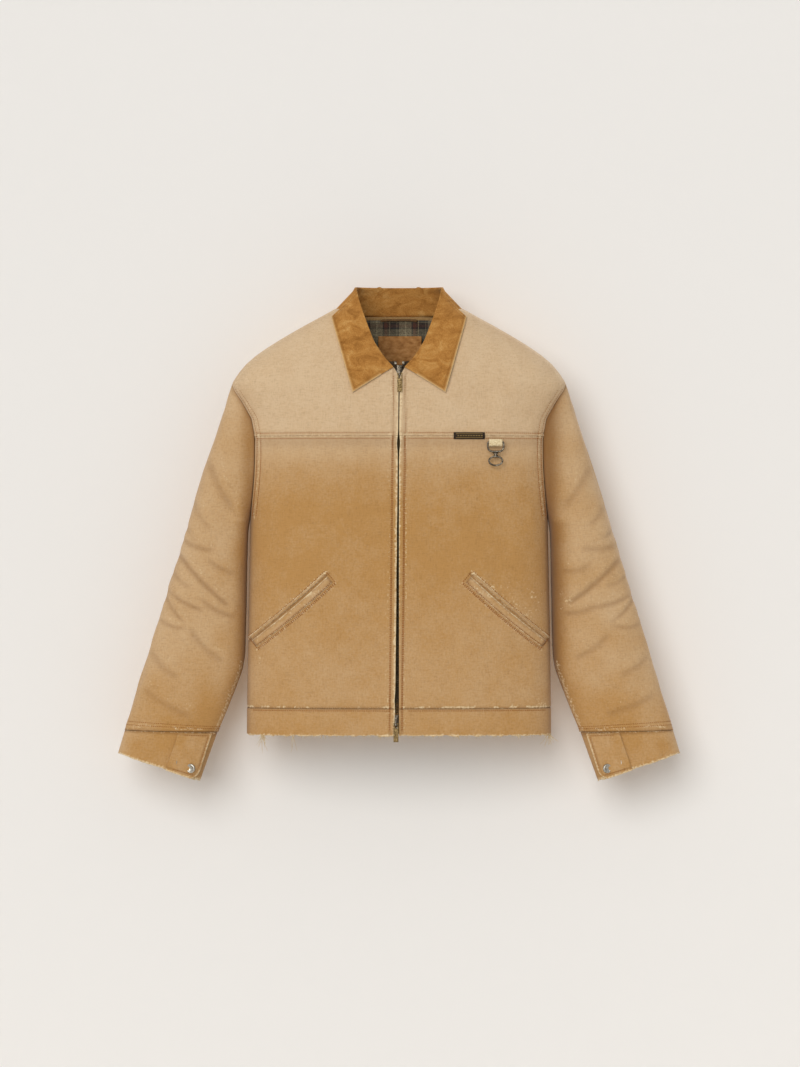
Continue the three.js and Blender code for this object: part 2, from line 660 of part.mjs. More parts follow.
// A collar leaf lies on the yoke, and is made in two pieces that part at the fold line.
function leafPoint(sign, across2, v, lift) {
  const innerTop = 52;
  const innerLow = edgeHalfGap + 2;
  const from = innerTop + (innerLow - innerTop) * v ** 1.3;
  const lowInner = -neckFrontDrop + 4;
  const to = 107 + (collarTipX - 107) * v;
  const x = from + (to - from) * across2;
  const low = lowInner + (-collarTipDrop - lowInner) * across2;
  const z = collarSeamZ + (low - collarSeamZ) * v;
  const reach = Math.min(0.97, x / halfWidth(z));
  const y = centreY - halfDepth(z, -1) * roundShare(reach) - lift - 4.5 * (x / 110) ** 3;
  return new THREE.Vector3(sign * x, y, z);
}
const leafLift = 1.35;
for (const { tag, sign } of sides) {
  const leaf = wall(
    (u, v) => leafPoint(sign, u, v, leafLift + collarThickness),
    (u, v) => leafPoint(sign, u, v, leafLift),
    8,
    6,
  );
  const [outside, inside] = [foldHalfWidth - seam, foldHalfWidth + seam];
  const keepOut = box(neckHalfWidth, 200, 300, sign * (outside + neckHalfWidth / 2), centreY, -60);
  const keepIn = box(inside, 200, 300, (sign * inside) / 2, centreY, -60);
  add(`collar_leaf_${tag}`, 'suede', cut(leaf, keepOut));
  add(`collar_wing_${tag}`, 'suede', cut(leaf, keepIn));
}

// ---- Front zip ----
const topSliderZ = -neckFrontDrop - 4;
const zipTop = topSliderZ - sliderHeight / 2 - running;
const zipBottom = hemZ + 35;
const tapePlaneY = chestY + clothThickness + 3;
function leaning(geometry) {
  const p = geometry.getAttribute('position');
  for (let i = 0; i < p.count; i += 1) p.setX(i, p.getX(i) + zipX(p.getZ(i)));
  return geometry;
}
function comb(sign) {
  const teeth = Math.floor((zipTop - zipBottom) / zipToothPitch);
  const start = sign > 0 ? 0 : zipToothPitch / 2;
  const root = 3.4;
  const tip = root - zipToothWidth;
  const shape = new THREE.Shape();
  shape.moveTo(root + 1.2, 0);
  shape.lineTo(root + 1.2, teeth * zipToothPitch);
  shape.lineTo(root, teeth * zipToothPitch);
  for (let i = teeth - 1; i >= 0; i -= 1) {
    const low = i * zipToothPitch + start + 0.4;
    shape.lineTo(root, low + zipToothHeight);
    shape.lineTo(tip, low + zipToothHeight);
    shape.lineTo(tip, low);
    shape.lineTo(root, low);
  }
  shape.lineTo(root, 0);
  const geometry = new THREE.ExtrudeGeometry(shape, { depth: zipThickness, bevelEnabled: false });
  geometry.rotateX(Math.PI / 2);
  if (sign < 0) geometry.scale(-1, 1, 1);
  geometry.translate(0, tapePlaneY + zipThickness / 2, zipBottom);
  return leaning(clean(geometry));
}

for (const { tag, sign } of sides) {
  add(`zip_teeth_${tag}`, 'darkMetal', comb(sign));
  const tapeTop = -neckFrontDrop + 11;
  const tapeHeight = tapeTop - hemZ - 3;
  const tapeX = sign * (5 + tapeWidth / 2);
  const tapeZ = tapeTop - tapeHeight / 2;
  const tape = box(tapeWidth, tapeThickness, tapeHeight, tapeX, tapePlaneY, tapeZ);
  add(`zip_tape_${tag}`, 'weave', leaning(clean(tape)));
  const stopY = tapePlaneY - (zipThickness + tapeThickness) / 2 - seam;
  const stop = box(3.4, zipThickness, 4, sign * 6.2, stopY, tapeTop - 2.6);
  add(`zip_top_stop_${tag}`, 'darkMetal', leaning(clean(stop)));
}
// The retaining pin and its box close the chain below the bottom slider.
const pinHeight = 11;
const bottomSliderZ = hemZ + 24;
const pinZ = bottomSliderZ - sliderHeight / 2 - running - 0.5 - pinHeight / 2;
add('zip_pin', 'darkMetal', box(2.4, zipThickness, pinHeight, zipX(hemZ) - 2.9, tapePlaneY, pinZ));
add('zip_box', 'darkMetal', box(4.6, zipThickness, pinHeight, zipX(hemZ) + 2.4, tapePlaneY, pinZ));

// Each slider is a front plate with its pull's bridge and a back plate behind the chain.
function slider(prefix, z) {
  const x = zipX(z);
  const frontY = tapePlaneY - zipThickness / 2 - chainGap - sliderThickness / 2;
  const plate = box(sliderWidth, sliderThickness, sliderHeight, x, frontY, z);
  // A bridge on two posts stands over the front plate and holds the pull's top bar.
  const barBack = chestY - 5.6;
  const postReach = frontY - barBack;
  const postY = barBack + postReach / 2 - 0.5;
  const postRise = sliderHeight * 0.36;
  const post = (rise) => box(2.6, postReach + 1, 2, x, postY, z + rise);
  const bar = box(2.6, bridgeThickness, postRise * 2 + 2, x, barBack - bridgeThickness / 2, z);
  add(`${prefix}_slider`, 'darkMetal', join(join(plate, bar), join(post(postRise), post(-postRise))));
  const backY = tapePlaneY + zipThickness / 2 + chainGap + sliderThickness / 2;
  add(`${prefix}_slider_back`, 'darkMetal', box(sliderWidth, sliderThickness, sliderHeight, x, backY, z));

  // The pull's top bar lies between the posts, and its eye goes round the lower one.
  const shape = new THREE.Shape();
  const half = pullWidth / 2;
  const eyeHalf = half - 2;
  shape.moveTo(-half, 0);
  shape.lineTo(half, 0);
  shape.lineTo(half, -pullLength);
  shape.lineTo(-half, -pullLength);
  shape.closePath();
  const hole = new THREE.Path();
  hole.moveTo(-eyeHalf, -pullBar);
  hole.lineTo(-eyeHalf, -pullBar - 6);
  hole.lineTo(eyeHalf, -pullBar - 6);
  hole.lineTo(eyeHalf, -pullBar);
  hole.closePath();
  shape.holes.push(hole);
  const pull = new THREE.ExtrudeGeometry(shape, { depth: pullThickness, bevelEnabled: false });
  pull.rotateX(Math.PI / 2);
  const pullTop = z - postRise + 1 + running + pullBar;
  pull.translate(x + 0.4, barBack + pullThickness + 0.8, pullTop);
  add(`${prefix}_pull`, 'darkMetal', clean(pull));
}
slider('top', topSliderZ);
slider('bottom', bottomSliderZ);

// ---- Neck patch and hanger loop, on the inside of the back ----
const patchTop = -30;
const patchSize = { width: 70, height: 48, thickness: 1.4 };
{
  const y = bodyPoint(0, patchTop, 1, liningInset + liningThickness + patchSize.thickness + seam).y;
  const patchZ = patchTop - patchSize.height / 2;
  const patch = box(patchSize.width, patchSize.thickness, patchSize.height, 0, y, patchZ);
  add('neck_patch', 'leather', patch);
  const points = [
    new THREE.Vector3(-30, -7, -9),
    new THREE.Vector3(-22, -12, -4),
    new THREE.Vector3(0, -14, -2),
    new THREE.Vector3(22, -12, -4),
    new THREE.Vector3(30, -7, -9),
  ];
  add('hanger_loop', 'leather', clean(wire(new THREE.CatmullRomCurve3(points), 1.8, 14)));
}

// ---- Chest label, webbing loop, bail, swivel and ring ----
{
  const x = chestLabel.startX + chestLabel.width / 2;
  const near = bodyPoint(chestLabel.startX / halfWidth(yokeZ), yokeZ, -1, 0).y;
  const y = near - chestLabel.thickness / 2 - seam;
  add('chest_label', 'weave', box(chestLabel.width, chestLabel.thickness, chestLabel.height, x, y, yokeZ));
}
const hangY = bodyPoint(hardwareX / halfWidth(yokeZ - 20), yokeZ - 20, -1, 0).y - 9;
const bailTop = yokeZ - 9;
{
  // The webbing is folded over the bail's bar.
  const shape = new THREE.Shape();
  const [reach, low] = [wireRadius + running + 1.6, -3.4];
  shape.moveTo(reach + 3, 12);
  shape.lineTo(-reach, 12);
  shape.lineTo(-reach, low);
  shape.lineTo(reach, low);
  shape.lineTo(reach, 3);
  shape.lineTo(reach + 3, 3);
  shape.closePath();
  const hole = new THREE.Path();
  const bore = wireRadius + running;
  hole.absarc(0, 0, bore, 0, Math.PI * 2, true);
  shape.holes.push(hole);
  const options = { depth: webbingWidth, bevelEnabled: false, curveSegments: 6 };
  const webbing = new THREE.ExtrudeGeometry(shape, options);
  webbing.rotateX(Math.PI / 2);
  webbing.rotateZ(Math.PI / 2);
  webbing.translate(hardwareX - webbingWidth / 2, hangY, bailTop);
  add('webbing_loop', 'webbing', clean(webbing));
}
const bailHeight = 16;
const swivelLength = 4.4;
{
  const half = webbingWidth / 2 + 3;
  const corner = 4;
  const path = new THREE.CurvePath();
  const at = (x, z) => new THREE.Vector3(hardwareX + x, hangY, bailTop + z);
  path.add(new THREE.LineCurve3(at(0, 0), at(half - corner, 0)));
  path.add(new THREE.QuadraticBezierCurve3(at(half - corner, 0), at(half, 0), at(half, -corner)));
  path.add(new THREE.LineCurve3(at(half, -corner), at(half, corner * 2 - bailHeight)));
  const [foot, bend] = [half - corner * 2, corner * 2 - bailHeight]; // where the lower corners start
  path.add(new THREE.QuadraticBezierCurve3(at(half, bend), at(half, -bailHeight), at(foot, -bailHeight)));
  path.add(new THREE.LineCurve3(at(foot, -bailHeight), at(-foot, -bailHeight)));
  path.add(new THREE.QuadraticBezierCurve3(at(-foot, -bailHeight), at(-half, -bailHeight), at(-half, bend)));
  path.add(new THREE.LineCurve3(at(-half, bend), at(-half, -corner)));
  path.add(new THREE.QuadraticBezierCurve3(at(-half, -corner), at(-half, 0), at(-half + corner, 0)));
  path.add(new THREE.LineCurve3(at(-half + corner, 0), at(-0.5, 0)));
  add('bail', 'darkMetal', clean(wire(path, wireRadius, 40)));
}
const ringHalf = { wide: 10.4, high: 6.6 };
const swivelTop = bailTop - bailHeight - wireRadius - seam;
const ringCentreZ = swivelTop - swivelLength - seam - wireRadius - ringHalf.high;
{
  const profile = [
    new THREE.Vector2(0, 0),
    new THREE.Vector2(3.6, 0),
    new THREE.Vector2(4.2, -1.4),
    new THREE.Vector2(2.2, -2.6),
    new THREE.Vector2(2.2, -swivelLength),
    new THREE.Vector2(0, -swivelLength),
  ];
  const post = new THREE.LatheGeometry(profile, 14);
  post.rotateX(Math.PI / 2);
  post.translate(hardwareX, hangY, swivelTop);
  add('swivel', 'darkMetal', clean(post));
  const { wide, high } = ringHalf;
  const points = [];
  for (let i = 0; i < 16; i += 1) {
    const angle = (i / 16) * Math.PI * 2;
    const x = hardwareX + wide * Math.cos(angle);
    points.push(new THREE.Vector3(x, hangY, ringCentreZ + high * Math.sin(angle)));
  }
  add('swivel_ring', 'darkMetal', clean(ringWire(points, wireRadius)));
}

export default jacket;
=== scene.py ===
# %% [markdown]
# A faded canvas work jacket, built as a lesson. It hangs empty, zipped up, seen from the front.
# Each step says what the piece is, how it could be made, and why it is made this way here.
# Sizes are in millimetres in the code and turned to metres when a mesh is made.
# +Z is up, the chest faces -Y, and the wearer's left is +X. The origin is the back neck seam.

# %% Load the frame
import bmesh
import bpy
import numpy as np
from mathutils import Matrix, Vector


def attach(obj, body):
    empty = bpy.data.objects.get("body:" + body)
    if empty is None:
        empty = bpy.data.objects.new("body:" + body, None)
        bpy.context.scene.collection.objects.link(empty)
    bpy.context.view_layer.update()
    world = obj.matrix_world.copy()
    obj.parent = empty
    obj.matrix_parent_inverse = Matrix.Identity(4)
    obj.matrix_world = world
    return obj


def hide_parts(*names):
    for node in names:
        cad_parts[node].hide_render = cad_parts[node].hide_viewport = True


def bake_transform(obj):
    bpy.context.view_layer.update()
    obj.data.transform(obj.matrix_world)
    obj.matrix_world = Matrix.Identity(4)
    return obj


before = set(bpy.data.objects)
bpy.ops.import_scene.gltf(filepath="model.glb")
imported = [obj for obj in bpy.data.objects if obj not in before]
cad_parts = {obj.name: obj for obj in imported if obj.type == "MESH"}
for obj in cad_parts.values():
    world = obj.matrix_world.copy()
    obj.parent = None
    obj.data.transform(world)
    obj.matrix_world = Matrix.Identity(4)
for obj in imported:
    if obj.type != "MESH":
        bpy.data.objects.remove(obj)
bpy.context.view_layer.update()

# %% [markdown]
# The camera and the room. A garment is usually shown against a pale wall with one broad soft
# light from the upper left, so its shadow falls softly down and to the right. A long lens from
# far away keeps the outline flat. The wall lets the view from behind through, and the second
# light behind it serves that view.

# %% Camera
MM = 0.001
scene = bpy.context.scene
FRAME_HEIGHT, DISTANCE, SENSOR = 1686, 8000, 36
cam = bpy.data.cameras.new("camera")
camera = bpy.data.objects.new("camera", cam)
scene.collection.objects.link(camera)
camera.location = (1.6 * MM, -DISTANCE * MM, -343.7 * MM)
camera.rotation_euler = (np.pi / 2, 0, 0)
cam.sensor_width = SENSOR
cam.lens = SENSOR * (DISTANCE - 90) / FRAME_HEIGHT
scene.camera = camera
print("lens", round(cam.lens, 1), "mm")


# %% Colours: one function turns an sRGB hex value to linear
def colour(hex_value):
    """Each channel c of 0 to 1 becomes c/12.92 below 0.04045, else ((c + 0.055)/1.055)^2.4."""
    c = np.array([int(hex_value[i:i + 2], 16) for i in (0, 2, 4)]) / 255
    linear = np.where(c <= 0.04045, c / 12.92, ((c + 0.055) / 1.055) ** 2.4)
    return (*linear.tolist(), 1.0)


def node(tree, kind, inputs=None, **settings):
    """Adds one node, sets its settings, then sets or links its inputs by name or number."""
    made = tree.nodes.new(kind)
    for key, value in settings.items():
        setattr(made, key, value)
    for key, value in (inputs or {}).items():
        socket = made.inputs[key]
        if isinstance(value, bpy.types.NodeSocket):
            tree.links.new(value, socket)
        else:
            socket.default_value = value
    return made


def new_material(name):
    """An empty node material: its tree, its Principled shader and its output."""
    material = bpy.data.materials.new(name)
    material.use_nodes = True
    tree = material.node_tree
    tree.nodes.clear()
    shader = node(tree, "ShaderNodeBsdfPrincipled")
    node(tree, "ShaderNodeOutputMaterial", {"Surface": shader.outputs["BSDF"]})
    return material, tree, shader


# %% Meshes from arrays
def add_mesh(name, points, faces, materials, face_material=None, attributes=None, smooth=True):
    """Vertices in millimetres and faces as rows of corner numbers, put in as whole arrays."""
    mesh = bpy.data.meshes.new(name)
    points = np.asarray(points, float).reshape(-1, 3) * MM
    faces = np.asarray(faces, np.int32)
    corners = faces.shape[1]
    mesh.vertices.add(len(points))
    mesh.vertices.foreach_set("co", points.ravel())
    mesh.loops.add(faces.size)
    mesh.loops.foreach_set("vertex_index", faces.ravel())
    mesh.polygons.add(len(faces))
    mesh.polygons.foreach_set("loop_start", np.arange(0, faces.size, corners, dtype=np.int32))
    for material in materials:
        mesh.materials.append(material)
    if face_material is not None:
        mesh.polygons.foreach_set("material_index", np.asarray(face_material, np.int32))
    mesh.polygons.foreach_set("use_smooth", np.full(len(faces), smooth))
    for key, values in (attributes or {}).items():
        layer = mesh.attributes.new(key, "FLOAT", "POINT")
        layer.data.foreach_set("value", np.asarray(values, np.float32).ravel())
    mesh.update(calc_edges=True)
    mesh.validate()
    piece = bpy.data.objects.new(name, mesh)
    scene.collection.objects.link(piece)
    return piece


def grid_faces(rows, columns, wrap=False, start=0):
    """Quads of a grid whose point (row, column) is number start + row * columns + column."""
    across = columns if wrap else columns - 1
    r, c = np.meshgrid(np.arange(rows - 1), np.arange(across), indexing="ij")
    following = (c + 1) % columns
    quads = np.stack([r * columns + c, r * columns + following,
                      (r + 1) * columns + following, (r + 1) * columns + c], -1)
    return quads.reshape(-1, 4) + start


def outward_normals(P, wrap=False):
    """The cross product of the steps along the columns and along the rows, at each grid point."""
    if wrap:
        along_columns = np.roll(P, -1, 1) - np.roll(P, 1, 1)
    else:
        along_columns = np.gradient(P, axis=1)
    n = np.cross(along_columns, np.gradient(P, axis=0))
    length = np.linalg.norm(n, axis=-1, keepdims=True)
    return n / np.maximum(length, 1e-9)


def signed_volume(points, quads):
    """A sixth of the sum of a . (b x c) over the triangles: above zero when faces point out."""
    a, b, c, d = (points[quads[:, i]] for i in range(4))
    return (np.einsum("ij,ij->i", a, np.cross(b, c)) + np.einsum("ij,ij->i", a, np.cross(c, d))).sum() / 6


def cloth(name, P, thickness, materials, out, wrap=False, attributes=None):
    """A closed sheet: the outer face P, an inner face one thickness along the inward normal,
    and rims between them. out is a rough outward direction, one for all or one for each point.
    The inner face takes the last material."""
    rows, columns = P.shape[:2]
    n = outward_normals(P, wrap)
    turn = np.sign((n * np.broadcast_to(np.asarray(out, float), P.shape)).sum(-1).mean())
    inner = P - n * turn * thickness
    points = np.concatenate([P.reshape(-1, 3), inner.reshape(-1, 3)])
    count = rows * columns
    outer_faces = grid_faces(rows, columns, wrap)
    inner_faces = grid_faces(rows, columns, wrap, count)[:, ::-1]
    rims = []
    edges = [np.arange(columns), (rows - 1) * columns + np.arange(columns)[::-1]]
    if wrap:
        edges = [np.append(e, e[0]) for e in edges]
    else:
        edges += [(np.arange(rows) * columns)[::-1], np.arange(rows) * columns + columns - 1]
    for e in edges:
        rims.append(np.stack([e[1:], e[:-1], e[:-1] + count, e[1:] + count], -1))
    rims = np.concatenate(rims)
    quads = np.concatenate([outer_faces, rims, inner_faces])
    if signed_volume(points, quads) < 0:
        quads = quads[:, ::-1]
    which = np.zeros(len(quads), int)
    which[len(outer_faces) + len(rims):] = len(materials) - 1
    doubled = {k: np.concatenate([v.ravel(), v.ravel()]) for k, v in (attributes or {}).items()}
    return add_mesh(name, points, quads, materials, which, doubled)


# %% Smooth noise from a fixed table
lattice = np.random.default_rng(7).random((8, 128, 128))


def noise(a, b, layer=0):
    """Value noise from -1 to 1: table values at whole places, eased between by t^2 (3 - 2t)."""
    a, b = np.broadcast_arrays(np.asarray(a, float), np.asarray(b, float))
    i, j = np.floor(a).astype(int), np.floor(b).astype(int)
    s, t = a - i, b - j
    s, t = s * s * (3 - 2 * s), t * t * (3 - 2 * t)
    table = lattice[layer]
    v00, v10 = table[i % 128, j % 128], table[(i + 1) % 128, j % 128]
    v01, v11 = table[i % 128, (j + 1) % 128], table[(i + 1) % 128, (j + 1) % 128]
    return (v00 * (1 - s) + v10 * s) * (2 - 2 * t) + (v01 * (1 - s) + v11 * s) * 2 * t - 1


def bump_line(distance, width):
    """A smooth ridge: exp(-(distance / width)^2)."""
    return np.exp(-(distance / width) ** 2)

# %% [markdown]
# Finishes. Each is a node material that starts from what the real stuff is. Patterns use Object
# coordinates, which are in metres here, so a scale of 1000 / 6 repeats every 6 mm.

# %% Canvas: cotton duck, piece-dyed tan, then washed and sanded pale
def object_pattern(tree, scale, kind="ShaderNodeTexNoise", place=(0, 0, 0), **inputs):
    """A texture node read at Object coordinates times a scale for each axis."""
    where = node(tree, "ShaderNodeTexCoord").outputs["Object"]
    mapped = node(tree, "ShaderNodeMapping", {"Vector": where, "Scale": scale, "Location": place})
    return node(tree, kind, {"Vector": mapped.outputs["Vector"], **inputs})


def ramp(tree, factor, stops, interpolation="LINEAR"):
    """A colour ramp from [place, hex] stops."""
    made = node(tree, "ShaderNodeValToRGB", {"Fac": factor})
    made.color_ramp.interpolation = interpolation
    elements = made.color_ramp.elements
    while len(elements) < len(stops):
        elements.new(0.5)
    for element, (place, hex_value) in zip(elements, stops):
        element.position, element.color = place, colour(hex_value)
    return made.outputs["Color"]


def math(tree, operation, a, b=0.0, c=0.0, clamp=False):
    """One arithmetic node."""
    made = node(tree, "ShaderNodeMath", {0: a, 1: b, 2: c}, operation=operation, use_clamp=clamp)
    return made.outputs[0]


def mix(tree, factor, a, b, blend="MIX"):
    """One colour mix node."""
    made = node(tree, "ShaderNodeMix", data_type="RGBA", blend_type=blend)
    for number, value in ((0, factor), (6, a), (7, b)):
        if isinstance(value, bpy.types.NodeSocket):
            tree.links.new(value, made.inputs[number])
        else:
            made.inputs[number].default_value = value
    return made.outputs[2]


def read_attribute(tree, name):
    """One of the piece's own numbers, worked out with its mesh."""
    return node(tree, "ShaderNodeAttribute", attribute_name=name).outputs["Fac"]


def canvas_material(name, gold, pale, worn, shade):
    """Duck canvas: weft slubs 9 by 1.1 mm and warp lines 1.2 by 8 mm are drawn about twice as
    coarse as real threads so that they show. fade, wear and dark are worked out per piece;
    dark is painted shade, mixed towards the shade colour."""
    material, tree, shader = new_material(name)
    weft = object_pattern(tree, (1000 / 9, 1000 / 9, 1000 / 1.3), Scale=1.0, Detail=3.0).outputs["Fac"]
    warp = object_pattern(tree, (1000 / 1.4, 1000 / 1.4, 1000 / 10), Scale=1.0, Detail=2.0).outputs["Fac"]
    cloud = object_pattern(tree, (1000 / 55,) * 3, Scale=1.0, Detail=4.0, Roughness=0.6).outputs["Fac"]
    speck = object_pattern(tree, (1000 / 3.2,) * 3, Scale=1.0, Detail=2.0).outputs["Fac"]
    weave = math(tree, "ADD", math(tree, "MULTIPLY", weft, 0.55), math(tree, "MULTIPLY", warp, 0.45))
    drift = math(tree, "MULTIPLY_ADD", math(tree, "SUBTRACT", cloud, 0.5), 0.35, read_attribute(tree, "fade"))
    faded = math(tree, "MULTIPLY_ADD", math(tree, "SUBTRACT", speck, 0.5), 0.45, drift, clamp=True)
    base = mix(tree, faded, colour(gold), colour(pale))
    grain = ramp(tree, weave, [(0.3, "cdc3b6"), (0.5, "fbf8f4"), (0.68, "ffffff")])
    base = mix(tree, 0.5, base, grain, "MULTIPLY")
    # dark: painted shade in grooves, creases, recesses and beside the arms.
    dark = math(tree, "MULTIPLY", read_attribute(tree, "dark"), 0.85, clamp=True)
    base = mix(tree, dark, base, colour(shade))
    rub = math(tree, "MULTIPLY_ADD", math(tree, "SUBTRACT", speck, 0.45), 1.6, read_attribute(tree, "wear"))
    rubbed = math(tree, "MULTIPLY", math(tree, "SUBTRACT", rub, 0.35), 1.7, clamp=True)
    rubbed = math(tree, "MULTIPLY", rubbed, math(tree, "GREATER_THAN", read_attribute(tree, "wear"), 0.02))
    base = mix(tree, rubbed, base, colour(worn))
    tree.links.new(base, shader.inputs["Base Color"])
    height = math(tree, "ADD", weave, math(tree, "MULTIPLY", speck, 0.5))
    bump = node(tree, "ShaderNodeBump", {"Height": height, "Strength": 0.55, "Distance": 0.0006})
    tree.links.new(bump.outputs["Normal"], shader.inputs["Normal"])
    shader.inputs["Roughness"].default_value = 0.92  # raw cotton scatters nearly all light
    shader.inputs["Specular IOR Level"].default_value = 0.15
    shader.inputs["IOR"].default_value = 1.45
    shader.inputs["Sheen Weight"].default_value = 0.12  # loose fibre ends after washing
    shader.inputs["Sheen Roughness"].default_value = 0.6
    return material


# 77502a is the colour of the painted shade.
canvas = canvas_material("duck_canvas", "b48850", "d3b895", "e0c9a0", "77502a")
print(canvas.name, len(canvas.node_tree.nodes), "nodes")


# %% Suede, leather, threads and tapes
def simple_cloth(name, stops, scale, rough=0.9, bump_height=0.0004, detail=4.0, sheen=0.0, strength=0.5):
    """A soft finish whose colour and height both follow one noise of the given size in mm."""
    material, tree, shader = new_material(name)
    texture = object_pattern(tree, tuple(1000 / s for s in scale), Scale=1.0, Detail=detail).outputs["Fac"]
    tree.links.new(ramp(tree, texture, stops), shader.inputs["Base Color"])
    bump = node(tree, "ShaderNodeBump", {"Height": texture, "Strength": strength, "Distance": bump_height})
    tree.links.new(bump.outputs["Normal"], shader.inputs["Normal"])
    shader.inputs["Roughness"].default_value = rough
    shader.inputs["Specular IOR Level"].default_value = 0.2
    shader.inputs["Sheen Weight"].default_value = sheen
    return material


def suede_material():
    """Cowhide split: a nap about 1 mm long that lies one way or the other in 20 mm patches, so
    it looks mottled, with its cut edges paler."""
    material, tree, shader = new_material("suede_split")
    patches = object_pattern(tree, (1000 / 24, 1000 / 24, 1000 / 16), Scale=1.0, Detail=5.0,
                             Roughness=0.62, Distortion=0.8).outputs["Fac"]
    nap = object_pattern(tree, (1000 / 1.6,) * 3, Scale=1.0, Detail=3.0).outputs["Fac"]
    base = ramp(tree, patches, [(0.3, "94622b"), (0.47, "b07a3c"), (0.56, "b98444"), (0.72, "cc9c5c")])
    base = mix(tree, 0.55, base, ramp(tree, nap, [(0.35, "cfc5b8"), (0.6, "ffffff")]), "MULTIPLY")
    base = mix(tree, math(tree, "MULTIPLY", read_attribute(tree, "dark"), 0.7, clamp=True), base, colour("6e4519"))
    base = mix(tree, math(tree, "MULTIPLY", read_attribute(tree, "wear"), 0.85, clamp=True), base, colour("dfc391"))
    tree.links.new(base, shader.inputs["Base Color"])
    height = math(tree, "ADD", nap, math(tree, "MULTIPLY", patches, 0.6))
    bump = node(tree, "ShaderNodeBump", {"Height": height, "Strength": 0.5, "Distance": 0.0006})
    tree.links.new(bump.outputs["Normal"], shader.inputs["Normal"])
    shader.inputs["Roughness"].default_value = 0.95
    shader.inputs["Specular IOR Level"].default_value = 0.1
    shader.inputs["Sheen Weight"].default_value = 0.35  # the nap catches light at the edges
    shader.inputs["Sheen Roughness"].default_value = 0.5
    shader.inputs["Sheen Tint"].default_value = colour("e8c48c")
    return material


suede = suede_material()
rust_thread = simple_cloth("topstitch_thread", [(0.3, "86501c"), (0.7, "ae6c30")], (1.5, 1.5, 1.5), 0.7)
cream_thread = simple_cloth("raw_cotton_thread", [(0.3, "c4a676"), (0.7, "e2cfa6")], (4, 4, 4), 0.9)
# The pocket mouth's cloth: pocketing twill, coloured dark as painted shade in the slit.
pocketing_and_shade = simple_cloth("pocketing_twill_and_painted_shade", [(0.3, "3d2b19"), (0.7, "5f4628")], (1.2, 1.2, 3), 0.95)
twill = simple_cloth("lining_twill", [(0.3, "8c6b43"), (0.7, "a98656")], (1.2, 1.2, 4), 0.9)
zip_cloth = simple_cloth("zip_tape", [(0.3, "2a2119"), (0.7, "4a3a29")], (1.2, 1.2, 2), 0.9)
webbing = simple_cloth("cotton_webbing", [(0.3, "b9a075"), (0.5, "dcc79d"), (0.7, "efe0bd")], (2.2, 2.2, 1.1), 0.85,
                       0.0008)
patch_leather = simple_cloth("veg_tan_leather", [(0.3, "8c5a26"), (0.5, "a8733a"), (0.7, "bd8850")], (9, 9, 6), 0.6,
                             0.0005, 6.0)
loop_leather = simple_cloth("hanger_tape", [(0.3, "5a4026"), (0.7, "7a5a36")], (2, 2, 2), 0.8)
label_weave = simple_cloth("label_weave", [(0.3, "1d1712"), (0.7, "3b2e22")], (1.1, 1.1, 0.7), 0.8)
label_gold = simple_cloth("label_gold_weft", [(0.3, "8a6f3f"), (0.7, "b3935a")], (0.8, 0.8, 0.6), 0.7)
print("soft finishes ready")


# %% Plaid flannel
def plaid_material():
    """Brushed cotton in a 46 mm check. Warp and weft each carry the same order of colours, and
    each point shows half of one and half of the other, as yarn-dyed cloth does."""
    material, tree, shader = new_material("plaid_flannel")
    where = node(tree, "ShaderNodeTexCoord").outputs["Object"]
    axes = node(tree, "ShaderNodeSeparateXYZ", {"Vector": where}).outputs
    order = [(0.0, "2f2c27"), (0.22, "6f6752"), (0.25, "35322c"), (0.31, "857a60"), (0.52, "a89c7c"),
             (0.56, "857a60"), (0.74, "302d28"), (0.8, "5a3426"), (0.9, "3f2d20"), (0.97, "94886a")]
    bands = []
    for axis, shift in (("X", 0.31), ("Z", 0.12)):
        place = math(tree, "FRACT", math(tree, "MULTIPLY_ADD", axes[axis], 1000 / 46, shift))
        bands.append(ramp(tree, place, order, "CONSTANT"))
    base = mix(tree, 0.42, bands[0], bands[1])
    fuzz = object_pattern(tree, (1000 / 1.8,) * 3, Scale=1.0, Detail=4.0).outputs["Fac"]
    base = mix(tree, 0.8, base, ramp(tree, fuzz, [(0.3, "8f8a84"), (0.65, "ffffff")]), "MULTIPLY")
    tree.links.new(base, shader.inputs["Base Color"])
    bump = node(tree, "ShaderNodeBump", {"Height": fuzz, "Strength": 0.6, "Distance": 0.0008})
    tree.links.new(bump.outputs["Normal"], shader.inputs["Normal"])
    shader.inputs["Roughness"].default_value = 0.96
    shader.inputs["Sheen Weight"].default_value = 0.3  # brushed pile
    return material


plaid = plaid_material()


# %% Metals
def metal_material(name, stops, rough, scale):
    """Plated zinc: dark in its hollows and rubbed bright on its high spots."""
    material, tree, shader = new_material(name)
    texture = object_pattern(tree, (1000 / scale,) * 3, Scale=1.0, Detail=5.0).outputs["Fac"]
    tree.links.new(ramp(tree, texture, stops), shader.inputs["Base Color"])
    roughness = node(tree, "ShaderNodeMapRange", {"Value": texture, "To Min": rough - 0.1, "To Max": rough + 0.12})
    tree.links.new(roughness.outputs["Result"], shader.inputs["Roughness"])
    bump = node(tree, "ShaderNodeBump", {"Height": texture, "Strength": 0.2, "Distance": 0.0002})
    tree.links.new(bump.outputs["Normal"], shader.inputs["Normal"])
    shader.inputs["Metallic"].default_value = 1.0
    return material


antique = metal_material("antique_nickel", [(0.3, "3a332b"), (0.5, "6d6457"), (0.7, "a39a8a")], 0.38, 2.5)
snap_metal = metal_material("nickel_snap", [(0.3, "8d877c"), (0.6, "c9c4b8")], 0.34, 3.0)
# The chain's near-black is partly oxide and partly painted shade for the narrow slit it shows through.
chain_brass = metal_material("oxidised_chain_and_slit_shade", [(0.3, "17130e"), (0.7, "4d402c")], 0.45, 2.0)
aged_brass = metal_material("antique_brass", [(0.3, "4b3c26"), (0.5, "7d6845"), (0.7, "b39a6c")], 0.4, 2.0)
print("metals ready")

